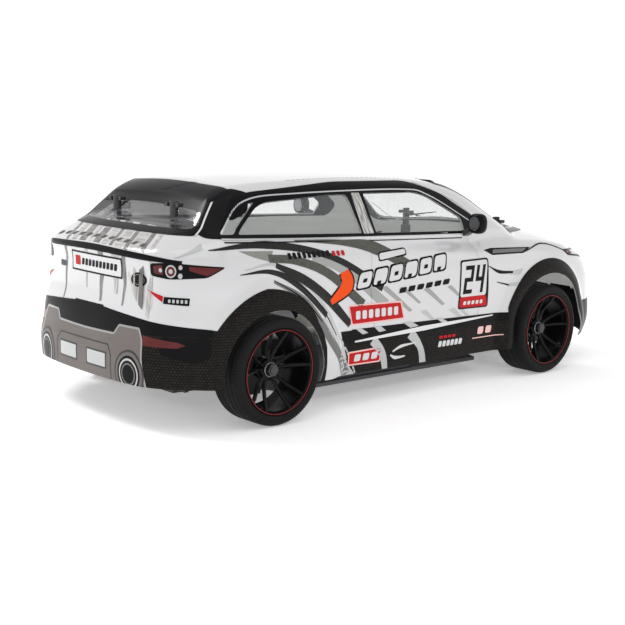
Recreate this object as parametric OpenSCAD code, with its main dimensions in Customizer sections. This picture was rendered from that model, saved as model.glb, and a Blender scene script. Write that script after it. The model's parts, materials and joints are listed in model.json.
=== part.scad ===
// Four-wheel-drive drift car, one-tenth size: moulded shell, parallelogram suspension, shaft drive.
// X points to the nose, Y to the car's left, Z up. The origin is on the ground at the middle of the car's
// length; each sub-part is drawn about the wheelbase's centre and then moved there.

/* [Wheels] */
// Distance between the front and rear axles
wheelbase = 260; // [256:1:264]
// Outside diameter of a tyre
tyre_diameter = 66; // [64:0.5:67]
// Width of a tyre
tyre_width = 26; // [24:0.5:26]
// Number of wheel spokes, set in pairs
spoke_pairs = 5; // [4:1:6]

/* [Body] */
// Thickness of the moulded shell
shell_wall = 1.4; // [1.2:0.1:2]
// Radius of the front wheel arch openings
front_arch_radius = 42.5; // [41:0.5:44]
// Radius of the rear wheel arch openings
rear_arch_radius = 37.5; // [37.5:0.5:39]

/* [Chassis] */
// Thickness of the chassis plate
plate_thickness = 2.5; // [2:0.1:3]

/* [Hidden] */
$fn = 48;
hair = 0.05;      // radial clearance of a running fit
middle_x = 8.3;   // the middle of the car's length, ahead of the wheelbase's centre
axle_z = 33;      // height of the wheel axles
pivot_in = 24;    // half distance between the inner suspension pivots
pivot_out = 60;   // half distance between the outer suspension pivots and kingpins
low_z = 17;       // height of the lower pivots
high_z = 49;      // height of the upper pivots
pin_r = 1.5;      // radius of hinge pins and studs
wheel_y = 81.5;   // half track, to the tyre's centre plane
plate_z = 8;      // underside of the chassis plate
floor_z = plate_z + plate_thickness;
tyre_r = tyre_diameter / 2;
rim_r = 26;
gear_module = 0.8;
spur_teeth = 50;
pinion_teeth = 18;
spur_r = gear_module * spur_teeth / 2;
pinion_r = gear_module * pinion_teeth / 2;
gear_x = -16;     // middle of the spur gear
gear_width = 7;
motor_z = 29;
motor_y = sqrt(pow(spur_r + pinion_r, 2) - pow(axle_z - motor_z, 2));
steer_arm = 16;   // length of the steering arms and of the servo horn
ball_z = 36.5;    // height of the track rod balls
horn_x = 96;
horn_y = -22;
shock_u = 17;     // distance of the shocks from the axle line
shock_top = [26, 72];
shock_foot = [46, 21];
shock_length = norm(shock_foot - shock_top);
shock_lean = atan2(shock_foot[0] - shock_top[0], shock_top[1] - shock_foot[1]);
rear_post = [-163.5, 31.4];
front_post = [120.5, 46.8];

// ---- small helpers ----

// A cylinder lying along X from u0 to u1 at height z
module bar_x(u0, u1, y, z, r) {
    translate([u0, y, z]) rotate([0, 90, 0]) cylinder(h = u1 - u0, r = r);
}

// A cylinder lying along Y from y0 to y1 at height z
module bar_y(y0, y1, x, z, r) {
    translate([x, y0, z]) rotate([-90, 0, 0]) cylinder(h = y1 - y0, r = r);
}

// A box given by its low and high corners
module block(low, high) {
    translate(low) cube(high - low);
}

// A box with rounded upright edges
module rounded_block(low, high, r) {
    translate([low[0] + r, low[1] + r, low[2]])
        linear_extrude(high[2] - low[2])
            offset(r = r) square([high[0] - low[0] - 2 * r, high[1] - low[1] - 2 * r]);
}

// Places a front left corner part at any corner: end is 1 or -1, side is 1 or -1
module corner(end, side) {
    translate([end * wheelbase / 2, 0, 0])
        scale([end, side, 1])
            children();
}

// Turns a front end part round to serve at the rear
module turned(end) {
    rotate([0, 0, end > 0 ? 0 : 180]) translate([wheelbase / 2, 0, 0]) children();
}

// Stands an along-shock part on the line from the tower to the lower arm
module along_shock() {
    translate([shock_u, shock_top[0], shock_top[1]]) rotate([180 + shock_lean, 0, 0]) children();
}

// ---- body surface ----

SIDE_WIDTH = [[14, 84], [22, 88], [34, 90], [52, 89], [70, 90], [84, 90], [94, 88], [104, 83], [114, 78]];
PLAN_WIDTH = [[-215, 0.90], [-185, 0.955], [-130, 0.99], [-60, 0.985], [0, 0.985], [70, 0.99],
    [130, 1.0], [175, 0.965], [215, 0.89]];
BELT_HEIGHT = [[-180, 116], [-150, 113.5], [-50, 109], [50, 99.5], [130, 96], [190, 86]];
HOOD_HEIGHT = [[60, 112], [110, 109.5], [145, 107.5], [165, 102], [185, 93], [205, 80]];
TAIL_X = [[14, -200], [28, -208], [40, -208.5], [52, -206.5], [64, -204.5], [76, -201.5],
    [92, -200.5], [101, -201.5], [104, -200], [112, -186], [118, -176]];
NOSE_X = [[14, 212], [24, 220], [40, 225], [60, 223], [74, 215], [86, 203], [92, 192]];
ROOF_HEIGHT = [[-170, 137], [-160, 139.5], [-140, 143], [-100, 146.5], [-40, 148], [10, 147],
    [45, 143.5], [75, 138]];
ROOF_WIDTH = [[-175, 50], [-153, 54], [-100, 60], [-40, 62], [20, 62], [60, 59], [90, 56]];
GLASS_WIDTH = [[-180, 70], [-150, 76], [-100, 79.5], [-40, 80.5], [30, 80], [90, 77], [130, 72]];

function round_both(a, b, r) = norm([max(a + r, 0), max(b + r, 0)]) + min(max(a, b), -r);
function round_either(a, b, r) = max(min(a, b), r) - norm([max(r - a, 0), max(r - b, 0)]);
function flare(x, z) =
    let (d = min(norm([x - 130, z - axle_z]), norm([x + 130, z - axle_z])),
         t = min(max((d - 45) / 13, 0), 1))
    4 * (1 - t * t * (3 - 2 * t));

// Lower body below the waistline, about zero on its surface
function lower_body(x, y, z) =
    let (side = y - lookup(z, SIDE_WIDTH) * lookup(x, PLAN_WIDTH) - flare(x, z),
         tail = lookup(z, TAIL_X) + 16 * pow(y / 90, 2.6) - x,
         nose = x - lookup(z, NOSE_X) + 15 * pow(y / 90, 3),
         belt = lookup(x, BELT_HEIGHT),
         hood = lookup(x, HOOD_HEIGHT),
         top = x > 60 ? hood - (hood - belt) * pow(y / 88, 2) : belt + 4 * (1 - pow(y / 80, 2)))
    max(round_both(round_both(round_both(side, tail, 27), nose, 30), (z - top) * 0.97, 7), 14 - z);

// Cabin above the waistline
function cabin(x, y, z) =
    let (rise = max(z - 108, 0) / 30,
         base = lookup(x, GLASS_WIDTH),
         side = (y - base - (lookup(x, ROOF_WIDTH) - base) * rise) * 0.83,
         screen = (x + 14 * pow(y / 70, 2) - 60) * 0.53 + (z - 143.5) * 0.85,
         tail = (-x - 154.5 + 3 * pow(y / 60, 2)) * 0.72 + (z - 134) * 0.69,
         roof = z - lookup(x, ROOF_HEIGHT) + 5 * pow(y / 62, 2))
    max(round_both(round_both(round_both(side, screen, 8), tail, 8), roof, 6), 97 - z);

function body_value(p) =
    let (y = abs(p[1]))
    round_either(lower_body(p[0], y, p[2]), cabin(p[0], y, p[2]), 3);

// Distance along a ray to the level, found by halving the interval
function reach(o, d, level, near, far, steps) =
    steps == 0 ? (near + far) / 2 :
    let (mid = (near + far) / 2)
    body_value(o + mid * d) < level
        ? reach(o, d, level, mid, far, steps - 1)
        : reach(o, d, level, near, mid, steps - 1);

// Rays fan out from a spine between the axles
spine_rear = -118;
spine_front = 128;
spine_z = 68;
RAY_TILTS = [for (t = [-84 : 10.5 : 0]) t];
RAY_STATIONS = concat(
    [for (t = RAY_TILTS) [spine_rear, t]],
    [for (k = [1 : 1 : 26]) [spine_rear + (spine_front - spine_rear) * k / 27, 0]],
    [for (k = [len(RAY_TILTS) - 1 : -1 : 0]) [spine_front, -RAY_TILTS[k]]]);
RAY_TURNS = concat([for (a = [-42 : 5.25 : 222]) a], [for (a = [236 : 18 : 308]) a]);

function ray(tilt, turn) = [sin(tilt), cos(tilt) * cos(turn), cos(tilt) * sin(turn)];
function hit(o, d, level) = o + reach(o, d, level, 5, 150, 15) * d;

// Closed solid bounded by one level of the body surface
module body_solid(level) {
    rows = len(RAY_STATIONS);
    cols = len(RAY_TURNS);
    last = 1 + rows * cols;
    points = concat(
        [hit([spine_rear, 0, spine_z], [-1, 0, 0], level)],
        [for (s = RAY_STATIONS) for (a = RAY_TURNS) hit([s[0], 0, spine_z], ray(s[1], a), level)],
        [hit([spine_front, 0, spine_z], [1, 0, 0], level)]);
    function at(i, j) = 1 + i * cols + (j % cols);
    faces = concat(
        [for (j = [0 : cols - 1]) [0, at(0, j), at(0, j + 1)]],
        [for (i = [0 : rows - 2]) for (j = [0 : cols - 1]) [at(i, j), at(i + 1, j), at(i + 1, j + 1)]],
        [for (i = [0 : rows - 2]) for (j = [0 : cols - 1]) [at(i, j), at(i + 1, j + 1), at(i, j + 1)]],
        [for (j = [0 : cols - 1]) [last, at(rows - 1, j + 1), at(rows - 1, j)]]);
    polyhedron(points, faces);
}

// Everything below the shell's lower edge, seen from the side
module below_shell() {
    rotate([90, 0, 0])
        linear_extrude(240, center = true)
            polygon([[-240, 0], [240, 0], [240, 22], [182, 22], [171, 46], [160, 22], [130, 22.5],
                [-130, 22.5], [-168, 27], [-240, 27]]);
}

module body_shell() {
    color("white")
        resize([0, 0, 0]) difference() {
            body_solid(0);
            body_solid(-shell_wall);
            below_shell();
            bar_y(-120, 120, wheelbase / 2 + 1, axle_z, front_arch_radius);
            bar_y(-120, 120, -wheelbase / 2 - 1, axle_z, rear_arch_radius);
            for (side = [-1, 1]) {
                translate([front_post[0], side * front_post[1], 80]) cylinder(h = 60, r = 3.4);
                translate([rear_post[0], side * rear_post[1], 100]) cylinder(h = 60, r = 3.4);
            }
        }
}

module mirrors() {
    color("black")
        for (side = [-1, 1])
            scale([1, side, 1]) union() {
                translate([44, 91, 114.5]) scale([7, 8.5, 6.4]) sphere(r = 1, $fn = 28);
                block([41, 77, 104.5], [53, 83, 112]);
                block([42, 80, 106], [49, 90, 111]);
            }
}

// ---- chassis ----

module chassis_plate() {
    color("dimgray")
        difference() {
            translate([0, 0, plate_z]) linear_extrude(plate_thickness)
                polygon([[-152, -15], [-108, -20], [-92, -56], [92, -56], [106, -20], [164, -20],
                    [164, 20], [106, 20], [92, 56], [-92, 56], [-108, 20], [-152, 15]]);
            all_screws(0.1);
        }
}

// Gear case, shock tower and suspension mounts, for the front axle
module bulkhead(post_u, post_y) {
    difference() {
        union() {
            block([-16, -12.5, floor_z], [16, 12.5, 48]);
            block([-21.5, -19, floor_z], [21.5, 19, 13.5]);
            translate([7.5, 0, 0]) rotate([90, 0, 90]) linear_extrude(3)
                polygon([[-14, 13], [14, 13], [15, 40], [28, 45], [31, 70], [29, 77],
                    [-29, 77], [-31, 70], [-28, 45], [-15, 40]]);
            block([-15, -11, 61.5], [9, 11, 66]);
            block([min(post_u - 5, 8), -11, 61.5], [max(post_u + 5, 8), 11, 66]);
            block([post_u - 5, -post_y - 5, 61.5], [post_u + 5, post_y + 5, 66]);
            for (side = [-1, 1]) {
                for (end = [-1, 1])
                    block([end > 0 ? 18.4 : -21.5, side > 0 ? 17 : -27.2, floor_z],
                        [end > 0 ? 21.5 : -18.4, side > 0 ? 27.2 : -17, 20.2]);
                bar_x(-21, 21, side * pivot_in, low_z, pin_r);
                bar_x(-8.9, 8, side * pivot_in, high_z, pin_r);
                bar_x(8, 20.8, side * shock_top[0], shock_top[1], pin_r);
            }
        }
        bar_y(-10.5, 10.5, 0, axle_z, 13.3);
        bar_y(-13, 13, 0, axle_z, 4 + hair);
        bar_x(-17, -8, 0, axle_z, 2.5 + hair);
        bar_x(-14.6, -8, 0, axle_z, 5);
    }
}

module bulkhead_front() {
    color("darkslategray") difference() {
        turned(1) bulkhead(front_post[0] - wheelbase / 2, front_post[1]);
        all_screws(0.1);
    }
}

module bulkhead_rear() {
    color("darkslategray") difference() {
        turned(-1) bulkhead(-rear_post[0] - wheelbase / 2, rear_post[1]);
        all_screws(0.1);
    }
}

module front_bumper() {
    color("black")
        translate([0, 0, floor_z]) linear_extrude(26)
            offset(r = 5) offset(delta = -5)
                polygon([[156, -22], [176, -46], [192, -42], [203, -24],
                    [203, 24], [192, 42], [176, 46], [156, 22]]);
}

// One body post with a collar below the shell and a slotted pin above it
module body_post(x, y, collar_z, top_z, clip_z) {
    translate([x, y, 0])
        difference() {
            union() {
                translate([0, 0, 66]) cylinder(h = collar_z - 66, r = 4);
                translate([0, 0, 66]) cylinder(h = top_z - 66, r = 2.6);
            }
            block([-1.2, -5, clip_z - 1.2], [1.2, 5, top_z + 1]);
        }
}

module body_posts() {
    color("black")
        for (side = [-1, 1]) {
            body_post(front_post[0], side * front_post[1], 99.5, 113.2, 109.8);
            body_post(rear_post[0], side * rear_post[1], 114.5, 131, 128.5);
        }
}

// One clip: a bar across the post under a round head
module body_clip(x, y, clip_z) {
    translate([x, y, clip_z]) {
        rotate([90, 0, 0]) cylinder(h = 11, r = 0.9, center = true);
        for (end = [-1, 1])
            block([-2, end * 5.5 - 1.2, -1.2], [2, end * 5.5 + 1.2, 1.2]);
    }
}

module body_clips() {
    color("silver")
        for (side = [-1, 1]) {
            body_clip(front_post[0], side * front_post[1], 110.1);
            body_clip(rear_post[0], side * rear_post[1], 128.8);
        }
}

module battery_pack() {
    color("dimgray") rounded_block([-72, -54, floor_z], [28, -26, 36], 4);
}

module receiver_unit() {
    color("black")
        difference() {
            rounded_block([12, 18, floor_z], [52, 50, 29], 2);
            block([27.5, 31.5, 27.4], [38.5, 36.5, 30]);
        }
}

module power_switch() {
    color("red") block([29.6, 31.8, 27.6], [33.6, 36.2, 31]);
}

module motor() {
    color("silver") {
        bar_x(-76, -26, motor_y, motor_z, 17.9);
        bar_x(-26, -23, motor_y, motor_z, 6);
        bar_x(-23, -11, motor_y, motor_z, 1.6);
    }
}

// Turn that puts a gap of the pinion opposite a tooth of the spur gear
mesh_line = atan2(motor_y, axle_z - motor_z);
spur_offset = mesh_line % (360 / spur_teeth);
pinion_phase = mesh_line + 180 + spur_offset * spur_teeth / pinion_teeth + 180 / pinion_teeth;

// A spur gear outline: teeth that narrow towards their tips
module gear_outline(teeth, r) {
    step = 360 / teeth;
    union() {
        circle(r = r - 0.75);
        for (k = [0 : teeth - 1])
            rotate(k * step)
                polygon([[r - 1.2, -0.62], [r - 0.4, -0.56], [r + 0.45, -0.3],
                    [r + 0.45, 0.3], [r - 0.4, 0.56], [r - 1.2, 0.62]]);
    }
}

module pinion_gear() {
    color("goldenrod")
        translate([gear_x - gear_width / 2, motor_y, motor_z]) rotate([0, 90, 0])
            difference() {
                linear_extrude(gear_width)
                    rotate(pinion_phase) gear_outline(pinion_teeth, pinion_r);
                translate([0, 0, -1]) cylinder(h = gear_width + 2, r = 1.6 + hair);
            }
}

module centre_shaft() {
    color("gray") {
        bar_x(-wheelbase / 2 + 5.6, wheelbase / 2 - 5.6, 0, axle_z, 2.5);
        for (end = [-1, 1])
            bar_x(end > 0 ? wheelbase / 2 - 14.2 : -wheelbase / 2 + 5.6,
                end > 0 ? wheelbase / 2 - 5.6 : -wheelbase / 2 + 14.2, 0, axle_z, 4.6);
    }
    color("white")
        translate([gear_x - gear_width / 2, 0, axle_z]) rotate([0, 90, 0])
            linear_extrude(gear_width) gear_outline(spur_teeth, spur_r);
}

// Locked axle: ring gear and two outdrive cups
module spool() {
    difference() {
        union() {
            bar_y(-14, 14, 0, axle_z, 4);
            bar_y(5, 8.5, 0, axle_z, 12.5);
            for (side = [-1, 1])
                bar_y(side > 0 ? 13 : -23, side > 0 ? 23 : -13, 0, axle_z, 6);
        }
        for (side = [-1, 1])
            bar_y(side > 0 ? 14.4 : -24, side > 0 ? 24 : -14.4, 0, axle_z, 4.6);
    }
}

module spool_front() {
    color("gray") turned(1) spool();
}

module spool_rear() {
    color("gray") turned(-1) spool();
}

// ---- steering ----

module servo() {
    color("black") {
        rounded_block([72, -32, floor_z], [104, -12, 33], 1.5);
        translate([horn_x, horn_y, 33]) cylinder(h = 2, r = 6);
        translate([horn_x, horn_y, 35]) cylinder(h = 4, r = 2.5);
    }
}

module servo_horn() {
    color("white")
        difference() {
            union() {
                translate([horn_x, horn_y, 35.3]) cylinder(h = 5, r = 4.5);
                block([horn_x - steer_arm, horn_y - 2.5, 37.3], [horn_x, horn_y + 2.5, 40.3]);
                translate([horn_x - steer_arm, horn_y, 37.3]) cylinder(h = 3, r = 3.2);
                translate([horn_x - steer_arm, horn_y, 40]) cylinder(h = 3.5, r = pin_r);
            }
            translate([horn_x, horn_y, 35]) cylinder(h = 4.3, r = 2.5 + hair);
        }
}

// A ball on a stud that hangs from a steering plate
module hanging_ball(x, y) {
    translate([x, y, ball_z]) sphere(r = 2.4);
    translate([x, y, ball_z]) cylinder(h = 41 - ball_z, r = 1.2);
}

module drag_link() {
    front_x = wheelbase / 2;
    color("orange") {
        difference() {
            translate([0, 0, 40.7]) linear_extrude(3)
                union() {
                    polygon([[front_x - 26, -27], [front_x - 20, -27], [front_x - 20, 27], [front_x - 26, 27]]);
                    for (side = [-1, 1]) {
                        translate([front_x - steer_arm, side * pivot_in]) circle(r = 3.5);
                        translate([front_x - 24, side * pivot_in - 3]) square([8, 6]);
                    }
                    polygon([[front_x - 26, -27], [front_x - 22, -10], [horn_x - steer_arm, -18.8],
                        [horn_x - steer_arm, -25.2]]);
                    translate([horn_x - steer_arm, horn_y]) circle(r = 3.2);
                }
            translate([horn_x - steer_arm, horn_y, 40]) cylinder(h = 5, r = pin_r + hair);
        }
        for (side = [-1, 1])
            hanging_ball(front_x - steer_arm, side * pivot_in);
    }
}

// ---- corner parts, drawn for the front left ----

module tie_rod() {
    difference() {
        union() {
            for (y = [pivot_in, pivot_out])
                translate([-steer_arm, y, ball_z - 2.6]) cylinder(h = 4.4, r = 3.8);
            bar_y(pivot_in, pivot_out, -steer_arm, ball_z, 1.6);
        }
        for (y = [pivot_in, pivot_out]) {
            translate([-steer_arm, y, ball_z]) sphere(r = 2.4 + hair);
            translate([-steer_arm, y, ball_z]) cylinder(h = 4, r = 2);
        }
    }
}

module lower_arm() {
    difference() {
        union() {
            translate([0, 0, low_z - 2]) linear_extrude(4)
                polygon([[-18, 24], [18, 24], [18, 40], [13.4, 40], [13.4, 51], [12, 60], [8.4, 60], [8.4, 46],
                    [-8.4, 46], [-8.4, 60], [-12, 60], [-12, 53], [-20, 47]]);
            bar_x(-18, 18, pivot_in, low_z, 3.2);
            for (u = [-12, 8.4])
                bar_x(u, u + 3.6, pivot_out, low_z, 3.2);
            bar_x(-10, 10, pivot_out, low_z, pin_r);
            block([10.4, 43, 15], [13.4, 49, 24]);
            bar_x(13, 20.6, shock_foot[0], shock_foot[1], pin_r);
        }
        bar_x(-19, 19, pivot_in, low_z, pin_r + hair);
        translate([0, 36, 10]) cylinder(h = 20, r = 5);
    }
}

module upper_link() {
    difference() {
        union() {
            for (y = [pivot_in, pivot_out])
                bar_x(-8.6, -2.6, y, high_z, 3.2);
            bar_y(pivot_in, pivot_out, -5.6, high_z, 1.6);
        }
        for (y = [pivot_in, pivot_out])
            bar_x(-9, -2, y, high_z, pin_r + hair);
    }
}

// Upright block shared by the front C hub and the rear hub carrier
module upright_block() {
    difference() {
        block([-8, 48, 13.8], [8, 66, 52]);
        block([-9, 47, 45.2], [-2.3, 67, 53]);
        bar_x(-9, 9, pivot_out, low_z, pin_r + hair);
    }
    bar_x(-8.9, -2, pivot_out, high_z, pin_r);
}

module c_hub() {
    difference() {
        upright_block();
        block([-9, 51.5, 22], [9, 67, 44]);
        block([-5.5, 47, 24], [5.5, 52, 42]);
        translate([0, pivot_out, 19]) cylinder(h = 28, r = pin_r + hair);
    }
}

module knuckle() {
    difference() {
        union() {
            bar_y(57.5, 66, 0, axle_z, 9.5);
            translate([0, pivot_out, 22.3]) cylinder(h = 3, r = 4);
            translate([0, pivot_out, 40.7]) cylinder(h = 3, r = 4);
            translate([0, pivot_out, 19.2]) cylinder(h = 27.6, r = pin_r);
            translate([0, 0, 40.7]) linear_extrude(3)
                polygon([[0, 57.5], [0, 63], [-steer_arm, 62.5], [-steer_arm, 57.5]]);
            translate([-steer_arm, pivot_out, 40.7]) cylinder(h = 3, r = 3.5);
        }
        bar_y(56, 67, 0, axle_z, 6.2 + hair);
    }
    hanging_ball(-steer_arm, pivot_out);
}

module hub_carrier() {
    difference() {
        union() {
            difference() {
                upright_block();
                block([-9, 47, 22], [9, 56, 53]);
                block([-9, 47, 20], [9, 53, 53]);
            }
            bar_y(56, 66, 0, axle_z, 10);
        }
        bar_y(47, 67, 0, axle_z, 6.2 + hair);
    }
}

module axle() {
    difference() {
        union() {
            bar_y(56.5, 66.5, 0, axle_z, 6.2);
            bar_y(66, 88, 0, axle_z, 2.5);
            translate([0, 69.5, axle_z]) rotate([-90, 0, 0]) cylinder(h = 4.5, r = 6, $fn = 6);
            translate([0, 84, axle_z]) rotate([-90, 0, 0]) cylinder(h = 3.6, r = 4, $fn = 6);
        }
        bar_y(56, 65.2, 0, axle_z, 4.6);
    }
}

module tyre() {
    half = tyre_width / 2;
    translate([0, wheel_y, axle_z]) rotate([90, 0, 0])
        rotate_extrude($fn = 96)
            polygon([[rim_r, -half + 1.5], [rim_r + 2.5, -half], [tyre_r - 3.2, -half], [tyre_r - 0.8, -half + 2],
                [tyre_r, -half + 4], [tyre_r, half - 4], [tyre_r - 0.8, half - 2], [tyre_r - 3.2, half],
                [rim_r + 2.5, half], [rim_r, half - 1.5]]);
}

// One spoke, dished from the hub out to the rim's edge
module spoke() {
    translate([3.5, 0, 0]) rotate([0, -21, 0]) translate([0, -1.4, -2]) cube([21.5, 2.8, 4]);
}

module rim() {
    translate([0, wheel_y, axle_z]) rotate([-90, 0, 0])
        difference() {
            union() {
                rotate_extrude($fn = 96)
                    polygon([[24, -12], [rim_r, -12], [rim_r, 11.6], [25.3, 12.4], [24, 12.4]]);
                translate([0, 0, -7.4]) cylinder(h = 9.5, r = 7);
                for (k = [0 : spoke_pairs - 1])
                    for (twin = [-9, 9])
                        rotate(k * 360 / spoke_pairs + twin) spoke();
            }
            translate([0, 0, -8]) cylinder(h = 12, r = 2.5 + hair);
        }
}

// Drive shaft with a ball and cross pin in the cup at each end
module dogbone() {
    bar_y(19, 60, 0, axle_z, 1.25);
    for (y = [19, 60]) {
        translate([0, y, axle_z]) sphere(r = 2.2);
        bar_x(-3.2, 3.2, y, axle_z, 0.7);
    }
}

module shock_body() {
    along_shock()
        difference() {
            union() {
                rotate([0, 90, 0]) cylinder(h = 6, r = 3.3, center = true);
                translate([0, 0, 2.4]) cylinder(h = 2.8, r = 2.2);
                rotate_extrude()
                    polygon([[0, 4.4], [4.2, 4.4], [4.6, 5], [4.6, 9], [6.2, 9], [6.2, 11], [4.6, 11],
                        [4.6, 30], [0, 30]]);
            }
            rotate([0, 90, 0]) cylinder(h = 10, r = pin_r + hair, center = true);
            translate([0, 0, 14]) cylinder(h = 20, r = 1.4 + hair);
        }
}

module shock_rod() {
    along_shock()
        difference() {
            union() {
                translate([0, 0, 19]) cylinder(h = shock_length - 21, r = 1.4);
                translate([0, 0, shock_length - 9]) cylinder(h = 2, r = 6.2);
                translate([0, 0, shock_length]) rotate([0, 90, 0]) cylinder(h = 6, r = 3.4, center = true);
            }
            translate([0, 0, shock_length]) rotate([0, 90, 0]) cylinder(h = 10, r = pin_r + 0.4, center = true);
        }
}

// One screw from below, head flush with the underside, or the hole for it
module screw(x, y, gap) {
    translate([x, y, plate_z - gap]) {
        cylinder(h = 1.4 + 2 * gap, r = 2.6 + gap);
        cylinder(h = 8 + 2 * gap, r = 1.4 + gap);
    }
}

module all_screws(gap) {
    for (x = [-140, -124, 124, 140], side = [-1, 1])
        screw(x, side * 8, gap);
}

module screws() {
    color("silver") all_screws(0);
}

// ---- nodes ----

// Moves a sub-part from the wheelbase's centre to the origin at mid-length
module placed() {
    translate([-middle_x, 0, 0]) children();
}

placed() chassis_plate();
placed() bulkhead_front();
placed() bulkhead_rear();
placed() front_bumper();
placed() body_posts();
placed() battery_pack();
placed() receiver_unit();
placed() power_switch();
placed() motor();
placed() pinion_gear();
placed() centre_shaft();
placed() spool_front();
placed() spool_rear();
placed() servo();
placed() servo_horn();
placed() drag_link();
placed() body_shell();
placed() mirrors();
placed() body_clips();
placed() screws();
placed() color("dimgray") corner(1, 1) lower_arm();  // lower_arm_front_left
placed() color("dimgray") corner(1, -1) lower_arm();  // lower_arm_front_right
placed() color("dimgray") corner(-1, 1) lower_arm();  // lower_arm_rear_left
placed() color("dimgray") corner(-1, -1) lower_arm();  // lower_arm_rear_right
placed() color("dimgray") corner(1, 1) upper_link();  // upper_link_front_left
placed() color("dimgray") corner(1, -1) upper_link();  // upper_link_front_right
placed() color("dimgray") corner(-1, 1) upper_link();  // upper_link_rear_left
placed() color("dimgray") corner(-1, -1) upper_link();  // upper_link_rear_right
placed() color("silver") corner(1, 1) axle();  // axle_front_left
placed() color("silver") corner(1, -1) axle();  // axle_front_right
placed() color("silver") corner(-1, 1) axle();  // axle_rear_left
placed() color("silver") corner(-1, -1) axle();  // axle_rear_right
placed() color("black") corner(1, 1) rim();  // rim_front_left
placed() color("black") corner(1, -1) rim();  // rim_front_right
placed() color("black") corner(-1, 1) rim();  // rim_rear_left
placed() color("black") corner(-1, -1) rim();  // rim_rear_right
placed() color("darkslategray") corner(1, 1) tyre();  // tyre_front_left
placed() color("darkslategray") corner(1, -1) tyre();  // tyre_front_right
placed() color("darkslategray") corner(-1, 1) tyre();  // tyre_rear_left
placed() color("darkslategray") corner(-1, -1) tyre();  // tyre_rear_right
placed() color("silver") corner(1, 1) dogbone();  // dogbone_front_left
placed() color("silver") corner(1, -1) dogbone();  // dogbone_front_right
placed() color("silver") corner(-1, 1) dogbone();  // dogbone_rear_left
placed() color("silver") corner(-1, -1) dogbone();  // dogbone_rear_right
placed() color("firebrick") corner(1, 1) shock_body();  // shock_body_front_left
placed() color("firebrick") corner(1, -1) shock_body();  // shock_body_front_right
placed() color("firebrick") corner(-1, 1) shock_body();  // shock_body_rear_left
placed() color("firebrick") corner(-1, -1) shock_body();  // shock_body_rear_right
placed() color("silver") corner(1, 1) shock_rod();  // shock_rod_front_left
placed() color("silver") corner(1, -1) shock_rod();  // shock_rod_front_right
placed() color("silver") corner(-1, 1) shock_rod();  // shock_rod_rear_left
placed() color("silver") corner(-1, -1) shock_rod();  // shock_rod_rear_right
placed() color("gray") corner(1, 1) c_hub();  // c_hub_left
placed() color("gray") corner(1, -1) c_hub();  // c_hub_right
placed() color("gray") corner(1, 1) knuckle();  // knuckle_left
placed() color("gray") corner(1, -1) knuckle();  // knuckle_right
placed() color("silver") corner(1, 1) tie_rod();  // tie_rod_left
placed() color("silver") corner(1, -1) tie_rod();  // tie_rod_right
placed() color("gray") corner(-1, 1) hub_carrier();  // hub_carrier_left
placed() color("gray") corner(-1, -1) hub_carrier();  // hub_carrier_right
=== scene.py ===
"""Radio-controlled drift car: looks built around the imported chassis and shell.

Shapes are worked out in millimetres about the wheelbase's centre, on the ground, and written to meshes
in metres in the row frame. X points to the nose, Y to the car's left, Z up.
"""

import json
import math

import bmesh
import bpy
import numpy as np
from mathutils import Matrix, Vector
from mathutils.geometry import delaunay_2d_cdt

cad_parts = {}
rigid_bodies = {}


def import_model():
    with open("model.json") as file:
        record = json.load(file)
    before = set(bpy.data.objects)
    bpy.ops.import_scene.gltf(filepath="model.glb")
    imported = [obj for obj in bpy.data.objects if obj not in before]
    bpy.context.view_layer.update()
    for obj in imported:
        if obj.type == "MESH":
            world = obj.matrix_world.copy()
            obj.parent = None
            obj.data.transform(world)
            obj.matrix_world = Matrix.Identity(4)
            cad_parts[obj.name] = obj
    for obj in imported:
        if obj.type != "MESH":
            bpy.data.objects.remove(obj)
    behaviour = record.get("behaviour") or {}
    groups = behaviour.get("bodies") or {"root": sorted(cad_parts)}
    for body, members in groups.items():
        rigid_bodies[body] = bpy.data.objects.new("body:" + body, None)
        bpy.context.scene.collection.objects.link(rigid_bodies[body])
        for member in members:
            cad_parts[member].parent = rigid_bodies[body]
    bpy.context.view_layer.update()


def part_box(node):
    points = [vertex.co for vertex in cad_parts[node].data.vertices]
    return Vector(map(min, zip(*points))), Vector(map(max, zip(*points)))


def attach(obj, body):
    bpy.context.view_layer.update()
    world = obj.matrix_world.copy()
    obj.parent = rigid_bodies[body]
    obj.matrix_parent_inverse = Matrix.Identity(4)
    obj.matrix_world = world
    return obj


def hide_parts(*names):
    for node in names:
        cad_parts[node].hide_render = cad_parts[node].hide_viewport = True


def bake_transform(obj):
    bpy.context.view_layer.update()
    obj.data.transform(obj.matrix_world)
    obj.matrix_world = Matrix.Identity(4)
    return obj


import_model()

MM = 0.001


def centre_of(node):
    """Middle of a CAD node's box, in millimetres."""
    low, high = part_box(node)
    return (low + high) / 2 / MM


def height_of(node):
    """Height of a CAD node's box, in millimetres."""
    low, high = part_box(node)
    return (high.z - low.z) / MM


FRONT_WHEEL = centre_of("tyre_front_left")
REAR_WHEEL = centre_of("tyre_rear_left")
# Where the wheelbase's centre, which the drawings count X from, lies in the row frame
DRAWING_ORIGIN = np.array([(FRONT_WHEEL.x + REAR_WHEEL.x) / 2, 0, 0])
AXLE_X = (FRONT_WHEEL.x - REAR_WHEEL.x) / 2
AXLE_Z = FRONT_WHEEL.z
WHEEL_Y = FRONT_WHEEL.y
RIM_R = height_of("rim_front_left") / 2
TYRE_R = height_of("tyre_front_left") / 2
SHELL_WALL = 1.1
DARK_LINING_TOP = 52    # the shell is black inside below this height
DARK_LINING_RIM = 14    # and this far out from the edge of the front arches
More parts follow.
